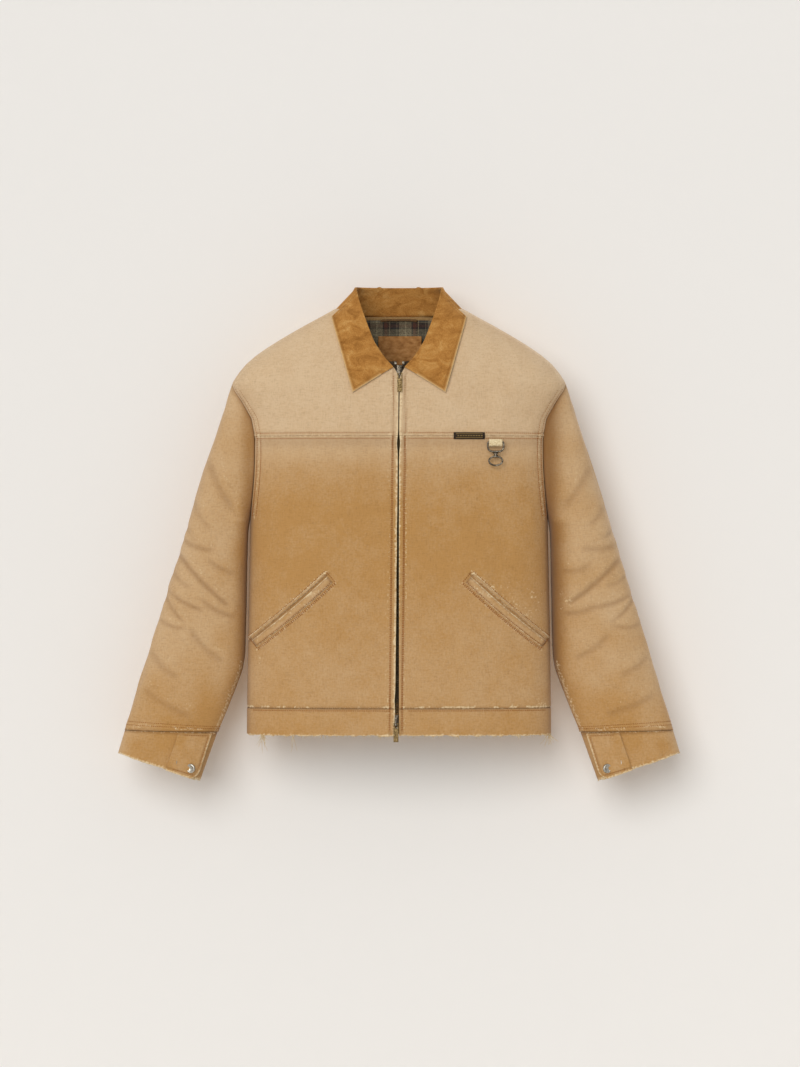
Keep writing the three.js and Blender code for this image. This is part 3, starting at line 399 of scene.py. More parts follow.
# %% [markdown]
# The body's shape. An empty jacket is two sheets that meet at the sides and shoulders with a
# little fullness between them. Its outline is a table of half widths by height, eased by a
# running average, and its section is a squared ellipse, so one pair of functions gives the
# front, the back, the lining and everything sewn on them.

# %% Outline and section
CENTRE_Y = -58.0
HEM_Z, HEM_SEAM_Z, YOKE_Z, ARMPIT_Z, SHOULDER_Z = -662.0, -619.0, -190.0, -325.0, -107.0
OUTLINE = np.array([
    (-675, 241), (-662, 241), (-600, 241), (-500, 239.5), (-325, 236), (-190, 234.5), (-162, 238), (-135, 251),
    (-118, 261), (-107, 264.5), (-101, 261.5), (-88.5, 253), (-76, 242.5), (-63, 227.5), (-50.6, 210), (-38, 190),
    (-25, 168), (-12.6, 146), (0, 122.5), (12, 101), (25, 91), (50, 85.5)])
z_table = np.arange(-675.0, 50.5, 0.5)
rough_width = np.interp(z_table, OUTLINE[:, 0], OUTLINE[:, 1])
window = np.hanning(17) / np.hanning(17).sum()
width_table = np.convolve(np.pad(rough_width, 8, "edge"), window, "valid")


def half_width(z):
    """Half the body's width at a height, read from the eased table."""
    return np.interp(z, z_table, width_table)


def half_depth(z, side):
    """Front: 80 below the neckline, drawn in to 52 beside the neck. Back: 64 to 66, then 58."""
    front = np.interp(z, [-84, 12, 47], [80, 52, 46])
    back = np.interp(z, [-662, -171, 0, 47], [64, 66, 58, 52])
    return np.where(np.asarray(side) < 0, front, back)


def round_share(share):
    """The squared ellipse: (1 - s^2.6)^(1/2.6)."""
    return (1 - np.clip(np.abs(share), 0, 1) ** 2.6) ** (1 / 2.6)


def zip_x(z):
    """The chain leans a little towards the wearer's right on its way down."""
    return 1.5 + 0.0107 * np.asarray(z, float)


def side_share(z, side):
    """The width share at which the body ends: at the armhole, 30 mm deep at most, or the side."""
    place = (np.asarray(z, float) + 216) / 109
    lens = 30 * np.sqrt(np.clip(1 - place ** 2, 0, 1))
    return round_share(np.clip(np.maximum(lens, 0.3) / half_depth(z, side), 0, 1))


def body_y(x, z, side):
    """The plain body's depth: the middle plane plus the squared ellipse times the half depth."""
    return CENTRE_Y + side * half_depth(z, side) * round_share(np.asarray(x) / half_width(z))


def body_point(x, z, side):
    """A point on the plain body, before folds and grooves."""
    x, z = np.broadcast_arrays(np.asarray(x, float), np.asarray(z, float))
    return np.stack([x, body_y(x, z, side), z], -1)


def body_normal(x, z, side):
    """The outward normal from the slopes of the surface, measured 0.5 mm to each side."""
    x, z = np.broadcast_arrays(np.asarray(x, float), np.asarray(z, float))
    x = np.sign(x) * np.minimum(np.abs(x), half_width(z) * 0.985)
    dx = body_y(x + 0.5, z, side) - body_y(x - 0.5, z, side)
    dz = body_y(x, z + 0.5, side) - body_y(x, z - 0.5, side)
    n = np.stack([-dx, np.ones_like(dx), -dz], -1) * side
    return n / np.linalg.norm(n, axis=-1, keepdims=True)


print("half width at the chest", round(float(half_width(-325)), 1))

# %% [markdown]
# The cloth's relief. Real seams pucker because the thread is tighter than the cloth, so each
# topstitched row lies in a shallow groove with small ripples across it. Larger soft folds come
# from how the cloth hangs. Both are one height field over the body, so that threads, pockets
# and labels can sit exactly on it. The same distances give how worn the cloth is, and where
# shade is painted into its colour: in the grooves and beside the arms.

# %% Seam rows and the height field
YOKE_ROWS = (-185.6, -194.2)
PLACKET_ROWS = (-10.2, -8.6, 9.2, 10.9)
HEM_ROWS = (-622.5,)
WELT = dict(length=155.0, height=14.0, inner_x=113.5, inner_z=-411.5, slope=-0.847)
WELT_DIRECTION = np.array([1, WELT["slope"]]) / np.hypot(1, WELT["slope"])
WELT_ACROSS = np.array([-WELT_DIRECTION[1], WELT_DIRECTION[0]])


def welt_place(x, z):
    """How far a place is along the pocket's mouth and above it, with the mouth's slight bow."""
    dx, dz = np.abs(x) - WELT["inner_x"], z - WELT["inner_z"]
    run = dx * WELT_DIRECTION[0] + dz * WELT_DIRECTION[1]
    rise = dx * WELT_ACROSS[0] + dz * WELT_ACROSS[1]
    return run, rise + 2.2 * np.sin(np.pi * np.clip(run / WELT["length"], 0, 1))


def armhole_distance(x, z, side):
    """How far inside the armhole or side seam a place is, across the body."""
    return half_width(z) * side_share(z, side) - np.abs(x)


def relief(x, z, side):
    """The height of the cloth over the plain body: soft folds, then grooves and ripples."""
    x, z = np.broadcast_arrays(np.asarray(x, float), np.asarray(z, float))
    s = 0 if side < 0 else 4
    edge = np.clip(armhole_distance(x, z, side) / 25, 0, 1)
    folds = 1.9 * noise(x / 62 + 3 * s, z / 210, s) + 0.9 * noise(x / 27, z / 46 + s, s + 1)
    folds = folds + 0.45 * noise(x / 11, z / 13, s + 2)
    if side < 0:
        folds = folds * (1 - 0.85 * bump_line(x - zip_x(z), 17))
    h = folds * edge
    for row in YOKE_ROWS:
        ripple = noise(x / 3.6 + row, z / 40, s + 2)
        h = h - 0.75 * bump_line(z - row, 1.5) + 0.45 * ripple * bump_line(z - row, 7)
    h = h + 0.9 * bump_line(z + 190, 3.2)
    if side < 0:
        across = x - zip_x(z)
        for row in PLACKET_ROWS:
            h = h - 0.6 * bump_line(across - row, 1.4)
        ripple = noise(z / 4.6, x / 30, 3)
        h = h + 1.3 * bump_line(across, 8) + (0.4 + 0.5 * ripple) * bump_line(np.abs(across) - 5.2, 3.4)
        h = h + 0.35 * ripple * bump_line(np.abs(across) - 13, 5)
        run, rise = welt_place(x, z)
        inside = np.clip((run + 6) / 8, 0, 1) * np.clip((WELT["length"] + 6 - run) / 8, 0, 1)
        h = h + inside * (0.8 * bump_line(rise - 6, 3) - 1.2 * bump_line(rise - 1.8, 2))
    below = np.clip((z - HEM_SEAM_Z) / 6, 0, 1)
    h = h - 0.9 * bump_line(z - HEM_SEAM_Z, 2.2)
    h = h + 0.6 * noise(x / 5.2, z / 22, s + 3) * bump_line(z - HEM_SEAM_Z, 11) * below
    near = armhole_distance(x, z, side)
    upper = (z > ARMPIT_Z) & (z < SHOULDER_Z + 30)
    for row in (3.0, 9.0):
        h = h - np.where(upper, 0.5, 0.15) * bump_line(near - row, 1.5)
    return h


def on_body(x, z, side, lift=0.0):
    """A point on the cloth's outer face, raised by lift along the normal."""
    return body_point(x, z, side) + body_normal(x, z, side) * (relief(x, z, side) + lift)[..., None]


# %% Fading, wear and shade of the body
FADE_BY_HEIGHT = np.array([
    (-662, 0.12), (-620, 0.18), (-594, 0.26), (-540, 0.24), (-490, 0.17), (-440, 0.09), (-380, 0.03), (-320, 0.05),
    (-281, 0.12), (-246, 0.27), (-215, 0.52), (-197, 0.68), (-177, 0.86), (-140, 0.88), (-100, 0.92), (-30, 0.92)])


def body_tone(x, z, side):
    """fade from the height, wear beside every seam, painted shade in the grooves and under the arms."""
    x, z = np.broadcast_arrays(np.asarray(x, float), np.asarray(z, float))
    s = 0 if side < 0 else 4
    fade = np.interp(z + 9 * noise(x / 90, z / 120, s), FADE_BY_HEIGHT[:, 0], FADE_BY_HEIGHT[:, 1])
    fade = fade + 0.05 * noise(x / 60, z / 50, s + 1) + 0.05 * noise(x / 13, z / 17, s + 2)
    near = armhole_distance(x, z, side)
    fade = fade - 0.12 * bump_line(near, 16) * (z > YOKE_Z)
    wear = 0.5 * bump_line(z + 190, 2.0)
    wear = wear + 0.35 * bump_line(near - 6, 2.2) * (z > ARMPIT_Z)
    # dark: painted shade in the yoke seam's grooves and in a broad band below the yoke seam.
    dark = 0.35 * sum(bump_line(z - row, 1.2) for row in YOKE_ROWS) + 0.25 * bump_line(z + 200, 9)
    # Painted shade beside the side seam below the armpit, where the sleeve lies against the front.
    dark = dark + 0.35 * bump_line(near, 5) * (z < ARMPIT_Z + 30)
    if side < 0:
        across = x - zip_x(z)
        wear = wear + 0.75 * bump_line(np.abs(across) - 2.2, 2.0) + 0.35 * bump_line(np.abs(across) - 13.2, 1.8)
        # Painted shade in the placket's stitched grooves.
        dark = dark + 0.35 * sum(bump_line(across - row, 1.1) for row in PLACKET_ROWS)
        run, rise = welt_place(x, z)
        inside = (run > -7) & (run < WELT["length"] + 7)
        wear = wear + np.where(inside, 0.7 * bump_line(rise - 6.5, 3.2), 0)
        wear = wear + np.where(inside, 0.5 * bump_line(rise + 17, 2), 0)
        # Painted shade in the groove at the pocket mouth.
        dark = dark + np.where(inside, 0.6 * bump_line(rise - 2.2, 2.0), 0)
        chafe = bump_line(x - 205, 26) * bump_line(z + 452, 22)
        chafe = chafe + 0.8 * bump_line(x - 150, 14) * bump_line(z + 432, 12)
        chafe = chafe + bump_line(x + 222, 9) * bump_line(z + 545, 9) + bump_line(x - 226, 10) * bump_line(z + 608, 7)
        wear = wear + 0.5 * chafe * (noise(x / 4, z / 4, 5) > 0.42)
    ragged = noise(x / 9, 0.0, s + 3) + 0.5 * noise(x / 3, 0.0, 5)
    wear = wear + 0.75 * bump_line(z - HEM_SEAM_Z - 2, 2.0) * (ragged > np.where(x > 20, 0.05, 0.45))
    # Painted shade in the hem seam's groove.
    dark = dark + 0.45 * bump_line(z - HEM_SEAM_Z, 2.4)
    return {"fade": fade, "wear": np.clip(wear, 0, 1), "dark": np.clip(dark, 0, 1)}

# %% [markdown]
# The canvas panels. Each is one grid over the body's surface, raised by the relief and given the
# cloth's thickness. A front is cut as panel, yoke and hem band, as on the real jacket.

# %% Zip edge, neckline and panels
FRONT, BACK = -1, 1
CANVAS_THICKNESS = 2.4
bodies = {1: "left", -1: "right"}


def lip_gap(z):
    """Half the slit between the fronts: nearly shut, a little open below the yoke, and wide
    round the top slider."""
    z = np.asarray(z, float)
    gap = 0.75 + 1.3 * bump_line(z + 202, 11) + 0.35 * (noise(z / 34, 0.5, 6) + 0.4) * (z < -180)
    gap = gap + 0.9 * bump_line(z + 640, 9) + 0.9 * bump_line(z + 606, 10)
    return np.maximum(gap, 0.75) + 0.6 * np.clip(z + 96, 0, 14)


def front_start(z, sign):
    """Where a front begins: at the zip, and above its top along the neckline."""
    z = np.asarray(z, float)
    neckline = 95 * np.clip((z + 84) / 96, 0, 1) ** (1 / 1.7)
    return np.maximum(sign * zip_x(z) + lip_gap(z), neckline)


def body_grid(side, low, high, rows, columns, sign=0, lift=0.0, low_edge=None, top_edge=None):
    """Rows rise from low to high. Columns run from the front edge, or the far side, outwards,
    closer together at the side where the body turns away."""
    v = np.linspace(0, 1, rows)[:, None]
    u = np.linspace(0 if sign else -1, 1, columns)[None, :]
    z = low + (high - low) * v + 0 * u
    limit = half_width(z) * np.where(z < SHOULDER_Z, side_share(z, side), 1.0)
    q = np.sign(u) * (1 - (1 - np.abs(u)) ** 1.4)
    if sign:
        q = q * (1 - np.exp(-u / 0.06))
        start = front_start(z, sign)
        x = sign * (start + (limit - start) * q)
    else:
        if top_edge is not None:
            z = z + v ** 6 * top_edge(limit * q)
            limit = half_width(z) * np.where(z < SHOULDER_Z, side_share(z, side), 1.0)
        x = limit * q
    if low_edge is not None:
        z = z + (1 - v) ** 6 * low_edge(x)
    P = on_body(x, z, side, lift)
    if sign:
        roll = np.abs(x - sign * front_start(z, sign))
        P[..., 1] += 0.5 * bump_line(roll, 0.8)
    return P, x, z


def declare_front(piece):
    """Bakes the piece's placement into its mesh."""
    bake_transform(piece)


def hem_edge(x):
    """A raw cut edge, ragged by a millimetre or two."""
    return 1.3 * noise(x / 6, 0.2, 5) + 0.9 * noise(x / 2.1, 0.7, 6)


for sign in (1, -1):
    tag = bodies[sign]
    for name, low, high, rows, columns, thick, nodes, lift, edge in (
            ("panel", -619.4, -190.6, 170, 92, CANVAS_THICKNESS,
             (f"front_panel_{tag}", f"front_edge_{tag}"), 0, None),
            ("yoke", -189.6, 11.5, 84, 92, CANVAS_THICKNESS, (f"front_yoke_{tag}", f"yoke_edge_{tag}"), 0.5, None),
            ("hem", -662.0, -619.6, 22, 110, 4.2, (f"hem_edge_{tag}",), 0.4, hem_edge)):
        P, x, z = body_grid(FRONT, low, high, rows, columns, sign, lift, low_edge=edge)
        tone = body_tone(x, z, FRONT)
        if name == "hem":
            tone["wear"] = np.clip(tone["wear"] + 0.95 * bump_line(z + 662, 2.0), 0, 1)
        piece = cloth(f"{name}_{tag}", P, thick, [canvas, twill], (0, FRONT, 0), attributes=tone)
        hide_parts(*nodes)
        declare_front(piece)


def shoulder_top(x):
    """The back yoke climbs beside the neck to meet the front at the shoulder."""
    return 9.0 * np.clip((np.abs(x) - 84) / 20, 0, 1)


for name, low, high, rows, columns, thick, cad, lift, edge in (
        ("back_panel_cloth", -619.4, -190.6, 140, 150, CANVAS_THICKNESS, "back_panel", 0, None),
        ("back_yoke_cloth", -189.6, 2.0, 66, 150, CANVAS_THICKNESS, "back_yoke", 0.5, None),
        ("hem_back", -662.0, -619.6, 18, 190, 4.2, "hem_band", 0.4, hem_edge)):
    P, x, z = body_grid(BACK, low, high, rows, columns, 0, lift, edge, shoulder_top if "yoke" in name else None)
    tone = body_tone(x, z, BACK)
    if name == "hem_back":
        tone["wear"] = np.clip(tone["wear"] + 0.95 * bump_line(z + 662, 2.0), 0, 1)
    piece = cloth(name, P, thick, [canvas, twill], (0, BACK, 0), attributes=tone)
    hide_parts(cad)
    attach(piece, "body")

# %% [markdown]
# The lining is a plaid flannel shell a few millimetres inside the canvas. It shows through the
# neck, and inside the fronts when they are open. It is the same surface, brought inwards.

# %% Lining
P, x, z = body_grid(BACK, -614, -3, 120, 90)
P = body_point(x * 0.985, z, BACK) - body_normal(x, z, BACK) * (5.2 - 0.6 * noise(x / 40, z / 60, 5))[..., None]
lining = cloth("lining_back_cloth", P, 1.0, [plaid], (0, -1, 0))
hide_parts("lining_back")
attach(lining, "body")
for sign in (1, -1):
    v, u = np.linspace(0, 1, 90)[:, None], np.linspace(0, 1, 46)[None, :]
    z = -613 + 500 * v + 0 * u
    start, end = 46.0, half_width(z) * side_share(z, FRONT) * 0.955
    x = sign * (start + (end - start) * u)
    P = body_point(x, z, FRONT) - body_normal(x, z, FRONT) * (12.0 + 0.8 * noise(x / 30, z / 50, 5))[..., None]
    lining = cloth(f"lining_{bodies[sign]}", P, 1.0, [plaid], (0, 1, 0))
    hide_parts(f"lining_front_{bodies[sign]}")
    declare_front(lining)
print("lining done")

# %% [markdown]
# Sleeves. Each is a tube of cloth from the armhole to the cuff. Its two edges in the front view
# are smooth tables, and its section is a squared ellipse. The elbow has whiskers, set in by years
# of bending: each crease is a straight line with a groove that fades at both ends.

# %% Sleeve surface
SLEEVE_T = np.linspace(0, 1, 401)
INNER = np.array([(0, 237.5, -325), (0.08, 239.5, -342), (0.3, 241, -415), (0.5, 242.4, -485), (0.64, 244, -537),
                  (0.7, 247.5, -559),
                  (0.8, 261, -595), (0.9, 274, -627), (1, 287, -658)])
DEPTHS = np.array([(0, 30), (0.12, 38), (0.4, 41), (0.75, 38), (1, 32)])
CREASES = np.array([  # x1, z1, x2, z2, depth, width, all for the wearer's left sleeve
    (350, -384, 268, -455, 1.9, 4.5), (374, -438, 312, -460, 1.6, 4), (372, -446, 338, -482, 1.5, 3.5),
    (380, -488, 340, -489, 1.3, 4), (339, -334, 320, -352, 1.2, 4), (342, -363, 292, -366, 1.3, 5),
    (312, -458, 262, -470, 1.4, 5), (330, -505, 280, -540, 1.1, 6), (392, -540, 352, -566, 1.1, 6),
    (300, -240, 262, -300, 1.2, 7), (402, -600, 330, -628, 1.0, 6), (325, -300, 300, -330, 0.9, 5),
    (360, -410, 330, -425, 1.0, 4), (300, -395, 258, -402, 1.2, 5)])


def smooth_table(table, column):
    """One column of a table along the sleeve, eased by a running average over 31 places."""
    values = np.interp(SLEEVE_T, table[:, 0], table[:, column])
    kernel = np.hanning(31) / np.hanning(31).sum()
    return np.convolve(np.pad(values, 15, "reflect", reflect_type="odd"), kernel, "valid")


inner_x, inner_z, depths = smooth_table(INNER, 1), smooth_table(INNER, 2), smooth_table(DEPTHS, 1)


def squared(angle, power):
    """Cosine and sine of an angle, each raised to a power that squares the circle's corners."""
    c, s = np.cos(angle), np.sin(angle)
    return np.sign(c) * np.abs(c) ** power, np.sign(s) * np.abs(s) ** power


def creases(x, z, shift=0.0):
    """The sum of the grooves: each falls off across its line and towards its ends."""
    total = np.zeros(np.broadcast(x, z).shape)
    for x1, z1, x2, z2, deep, wide in CREASES + np.array([0, shift, 0, -shift / 2, 0, 0]):
        length = np.hypot(x2 - x1, z2 - z1)
        along = ((x - x1) * (x2 - x1) + (z - z1) * (z2 - z1)) / length
        across = ((x - x1) * (z2 - z1) - (z - z1) * (x2 - x1)) / length
        across = across + 3.5 * np.sin(np.pi * np.clip(along / length, 0, 1))
        ends = np.clip(along / 12 + 0.5, 0, 1) * np.clip((length - along) / 12 + 0.5, 0, 1)
        total = total + ends * deep * (bump_line(across, wide) - 0.55 * bump_line(across - wide * 2, wide * 1.3))
    return total


def sleeve_surface(sign, t, angle, lift=0.0):
    """A point from the armhole (t 0) to the cuff seam (t 1); angle 0 is the outer edge."""
    t, angle = np.broadcast_arrays(t, angle)
    c, s = squared(angle, 0.9)
    ox, oz = 266.5 + 168.1 * t, -107 - 548.2 * t
    ix, iz = np.interp(t, SLEEVE_T, inner_x), np.interp(t, SLEEVE_T, inner_z)
    x = (ox + ix) / 2 + (ox - ix) / 2 * c
    z = (oz + iz) / 2 + (oz - iz) / 2 * c
    top_z = SHOULDER_Z - 109 * (1 - c)
    straight = 266.5 - 14.5 * (1 - c)
    armhole = half_width(top_z) * side_share(top_z, FRONT) + 0.6
    x = x + (armhole - straight) * np.clip(1 - t / 0.3, 0, 1) ** 2
    seed = 0 if sign > 0 else 2
    which = np.where(s < 0, 0, 3)
    grooves = creases(x, z, 0 if sign > 0 else 9) * np.where(s < 0, 1.0, 0.55)
    soft = 1.7 * noise(x / 45 + which, z / 85, seed) + 0.8 * noise(x / 17 + which, z / 24, seed + 1)
    soft = soft + 0.5 * noise((x + z) / 9, (z - x) / 21 + which, seed + 2) * bump_line(z + 440, 130)
    ends = np.clip(t / 0.06, 0, 1) * np.clip((1 - t) / 0.02, 0.2, 1)
    push = (soft - grooves) * ends * (1 - 0.75 * bump_line(c + 1, 0.2))  # calm where it meets the body
    push = push + 1.1 * noise(x / 6, 0.3 + which, 5) * bump_line(t - 1, 0.02) + lift
    radial_x, radial_y = c * 0.35, s
    size = np.hypot(radial_x, radial_y) + 1e-6
    y = CENTRE_Y + np.interp(t, SLEEVE_T, depths) * s + push * radial_y / size
    x = x + push * radial_x / size
    return np.stack([sign * x, y, z], -1)


def sleeve_tone(P, t, angle, sign):
    """Pale along the outer edge and the elbow's high spots, golden towards the cuff; painted shade in the creases, at
    the seams, along the inner edge and beside the body.
    """
    x, z = np.abs(P[..., 0]), P[..., 2]
    c = np.cos(angle)
    seed = 1 if sign > 0 else 3
    fade = np.interp(z + 24 * noise(x / 60, z / 70, seed), [-660, -640, -600, -555, -480, -200, -120],
                     [0.08, 0.12, 0.2, 0.32, 0.40, 0.38, 0.42])
    # Paler along the outer edge; darker towards the inner edge, which is painted shade.
    fade = fade + 0.16 * np.clip(c, 0, 1) ** 1.5 - 0.20 * np.clip(-c, 0, 1) ** 2 + 0.12 * noise(x / 28, z / 34, seed)
    groove = creases(x, z, 0 if sign > 0 else 9)
    # dark: painted shade in the crease grooves and at the cuff and armhole seams.
    dark = np.clip(groove / 2.6, 0, 1) * 0.7 + 0.5 * bump_line(t - 1, 0.006) + 0.4 * bump_line(t, 0.01)
    ridge = np.clip(-groove / 1.0, 0, 1) * 0.12
    # Painted shade on the sleeve beside the body, where it lies behind the front: darker and less faded.
    inside = x - np.where(z > ARMPIT_Z, 236, 243)
    shaded = bump_line(np.maximum(inside, 0), 18 if sign > 0 else 13) * np.clip((z + 640) / 60, 0, 1)
    dark = dark + (0.85 if sign > 0 else 0.4) * shaded
    fade = fade - 0.25 * shaded
    edge = 0.45 * bump_line(c + 0.94, 0.05) * (z < -545) * (P[..., 1] < CENTRE_Y)
    rag = noise(x / 8, z / 6, 5)
    chafe = 0.4 * (bump_line(x - 262, 12) * bump_line(z + 452, 16) + bump_line(x - 330, 22) * bump_line(z + 448, 10)
                   ) * (rag > 0.5) * (sign > 0)
    wear = ridge + edge + chafe + 0.4 * bump_line(t - 0.988, 0.008) * (rag > 0)
    fade, dark, wear = np.broadcast_arrays(fade, dark, wear)
    return {"fade": fade, "wear": np.clip(wear, 0, 1), "dark": np.clip(dark, 0, 1)}


def sleeve_blend(piece):
    """Bakes the piece's placement into its mesh."""
    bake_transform(piece)


for sign in (1, -1):
    t = np.linspace(0, 1, 210)[:, None]
    angle = np.linspace(0, 2 * np.pi, 104, endpoint=False)[None, :]
    P = sleeve_surface(sign, t, angle)
    middle = P.mean(1, keepdims=True)
    piece = cloth(f"sleeve_cloth_{bodies[sign]}", P, 2.2, [canvas, twill], P - middle, wrap=True,
                  attributes=sleeve_tone(P, t, angle, sign))
    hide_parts(f"sleeve_{bodies[sign]}")
    sleeve_blend(piece)
print("sleeves done")

# %% [markdown]
# Cuffs. A doubled band closes each sleeve. One end laps over the other at the front and is held
# by a ring-faced snap, so the lap is its own piece and can open.

# %% Cuffs and their laps
CUFF_OUTER = np.array([(434.8, -655.6), (445.5, -691.0)])
CUFF_INNER = np.array([(288.0, -659.0), (315.5, -735.5)])
CUFF_DEPTH = 31.0


def cuff_edges(v):
    """The cuff's outer and inner edge in the front view: straight lines from seam to end."""
    v = np.asarray(v, float)[..., None]
    return CUFF_OUTER[0] * (1 - v) + CUFF_OUTER[1] * v, CUFF_INNER[0] * (1 - v) + CUFF_INNER[1] * v


def cuff_front(sign, share, v, lift):
    """In front of the cuff: share runs from its middle (0) to its inner edge (1)."""
    share, v = np.broadcast_arrays(share, v)
    outer, inner = cuff_edges(v)
    place = (outer + inner) / 2 * (1 - share[..., None]) + inner * share[..., None]
    deep = CUFF_DEPTH * (1 - np.clip(share * 0.93, 0, 1) ** (2 / 0.7)) ** 0.35
    y = CENTRE_Y - deep - lift - 0.5 * noise(place[..., 0] / 7, place[..., 1] / 9, 6)
    return np.stack([sign * place[..., 0], y, place[..., 1]], -1)


for sign in (1, -1):
    tag = bodies[sign]
    v = np.linspace(0, 1, 26)[:, None]
    angle = np.linspace(0, 2 * np.pi, 110, endpoint=False)[None, :]
    v, angle = np.broadcast_arrays(v, angle)
    c, s = squared(angle, 0.7)
    outer, inner = cuff_edges(v)
    place = (outer + inner) / 2 + (outer - inner) / 2 * c[..., None]
    x, z = place[..., 0], place[..., 1]
    ripple = 0.8 * noise(x / 8, z / 14, 5) + 0.5 * noise(x / 3.2, z / 6, 6)
    rag = v ** 8 * (1.2 * noise(x / 5, 0.4, 5) + 0.8 * noise(x / 1.9, 0.9, 6))
    P = np.stack([sign * x, CENTRE_Y + (CUFF_DEPTH + ripple) * s, z + rag], -1)
    # dark is painted shade at the seam to the sleeve and along the cuff's inner edge.
    tone = {"fade": 0.10 + 0.12 * noise(x / 22, z / 20, 5) + 0.3 * np.clip(c, 0, 1) ** 6,
            "wear": np.clip(0.95 * bump_line(v - 1, 0.05) + 0.35 * bump_line(v, 0.03), 0, 1),
            "dark": 0.6 * bump_line(v - 0.02, 0.05) + 0.5 * np.clip(-c - 0.8, 0, 1)}
    piece = cloth(f"cuff_cloth_{tag}", P, 3.4, [canvas, twill], P - P.mean(1, keepdims=True), wrap=True,
                  attributes={k: np.broadcast_to(a, x.shape) for k, a in tone.items()})
    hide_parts(f"cuff_{tag}")
    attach(piece, f"sleeve_{tag}")
    v, u = np.broadcast_arrays(np.linspace(0.03, 1.01, 44)[:, None], np.linspace(0, 1, 36)[None, :])
    end = 0.9 + 0.04 * v - 0.16 * np.clip((v - 0.78) / 0.23, 0, 1) ** 2.5
    share = 0.18 + (end - 0.18) * u
    P = cuff_front(sign, share, v, 1.0 + 1.6 * np.clip(u / 0.3, 0, 1) + 1.5)
    border = np.minimum(np.minimum(1 - u, (1 - v) * 1.2), v * 1.5)
    # dark is painted shade in the grooves of the lap's edge stitching.
    tone = {"fade": 0.12 + 0.12 * noise(share * 6, v * 4, 3), "wear": np.clip(0.85 * bump_line(border, 0.035), 0, 1),
            "dark": 0.45 * bump_line(border - 0.09, 0.025)}
    piece = cloth(f"cuff_lap_{tag}", P, 2.3, [canvas, twill], (0, -1, 0),
                  attributes={k: np.broadcast_to(a, u.shape) for k, a in tone.items()})
    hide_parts(f"cuff_tab_{tag}")
    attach(piece, f"cuff_tab_{tag}")
print("cuffs done")

# %% [markdown]
# The collar. A suede point collar stands up from the neck seam, rolls over, and falls to a wide
# edge with a point at each front. One sheet makes all of it: rows run from the seam up the stand,
# over the roll and down the fall, and columns run round the neck. Averaging along the rows rounds
# the roll. It is cut into a back and two leaves.

# %% Collar surface
ROLL_FRONT = np.array([(0, 66.5, -60, 47.5), (0.16, 61.5, -78, 27), (0.36, 53.5, -104, 2), (0.68, 37.5, -127, -41),
                       (0.88, 20, -138, -68), (1, 8.2, -142, -81.5)])
EDGE_FRONT = np.array([(0, 108.5, -58, 5), (0.2, 103, -80, -17), (0.5, 92, -104, -55), (0.8, 80, -124, -98),
                       (1, 73.3, -130, -122)])
SEAM_FRONT = np.array([(0, 93, -58, 4), (0.3, 90, -90, 4), (0.6, 68, -116, -32), (0.85, 38, -130, -66),
                       (1, 12, -136, -82)])


def collar_line(table, q):
    """A point on one of the leaf's three lines, straight between the table's places."""
    return np.stack([np.interp(q, table[:, 0], table[:, i]) for i in (1, 2, 3)], -1)


def collar_ring(s, half, deep, z):
    """A point on the squared ellipse round the back of the neck."""
    c, w = squared(s * np.pi / 2, 2 / 2.6)
    return np.stack([half * w, CENTRE_Y + deep * c, z + 0 * s], -1)


def collar_half():
    """Columns: s from 0 at the back to 1 at the side to 2.1 at the front; rows: stand, then fall."""
    s = np.linspace(0, 2, 150)
    q = np.clip(s - 1, 0, 1)
    back = s <= 1
    ring_s = np.clip(s, 0, 1)
    seam = np.where(back[:, None], collar_ring(ring_s, 93, 57.5, 2.5), collar_line(SEAM_FRONT, q))
    roll_back = collar_ring(ring_s, 66.5, 53, 50.5 - 2.5 * ring_s ** 6)
    roll = np.where(back[:, None], roll_back, collar_line(ROLL_FRONT, q))
    edge = np.where(back[:, None], collar_ring(ring_s, 108.5, 67, -7 + 12 * ring_s ** 2), collar_line(EDGE_FRONT, q))
    kernel = np.hanning(11) / np.hanning(11).sum()
    for line in (seam, roll, edge):
        for i in range(3):
            line[5:-5, i] = np.convolve(line[:, i], kernel, "same")[5:-5]
    stand = np.linspace(0, 1, 12)[:, None, None]
    fall = np.linspace(0, 1, 40)[1:, None, None]
    rows = np.concatenate([seam * (1 - stand) + roll * stand, roll * (1 - fall) + edge * fall])
    for _ in range(3):
        rows[1:-1] = rows[:-2] * 0.25 + rows[1:-1] * 0.5 + rows[2:] * 0.25
    part = np.concatenate([np.zeros(12), fall[:, 0, 0]])[:, None] + 0 * s
    return rows, part, s[None, :] + 0 * part


def mirror(a):
    """The half's columns reversed, then the half again without its first column."""
    return np.concatenate([a[:, ::-1], a[:, 1:]], 1)


rows, part, s = collar_half()
x, y, z = rows[..., 0], rows[..., 1], rows[..., 2]
falling = part > 0.02
dome = 3.2 * np.sin(np.pi * np.clip(part, 0, 1)) * falling
cover = body_y(np.minimum(x, half_width(z) * 0.985), z, FRONT) - 4.4
y = np.where(falling & (s > 1.05), np.minimum(y - dome, cover), y)
wave = 0.8 * noise(x / 30, z / 26, 5) + 0.3 * noise(x / 8, z / 8, 6)
y = np.where(s > 1.05, y - wave * falling, y + wave * falling)
half = np.stack([x, y, z], -1)
full = np.concatenate([(half * (-1, 1, 1))[:, ::-1], half[:, 1:]], 1)
part, s = mirror(part), mirror(s)
border = np.minimum((1 - part) * 62, np.clip(2 - s, 0, 1) * 150)
scuff = noise(full[..., 0] / 7, full[..., 2] / 7, 3)
tone = {"wear": np.clip(0.95 * bump_line(border, 1.7), 0, 1) * (part > 0.3),
        "dark": np.clip(0.5 * bump_line(border - 5.2, 1.5) * (part > 0.2) + 0.35 * np.clip(scuff - 0.4, 0, 1)
                        * bump_line(border - 8, 9) * (part > 0.2), 0, 1)}
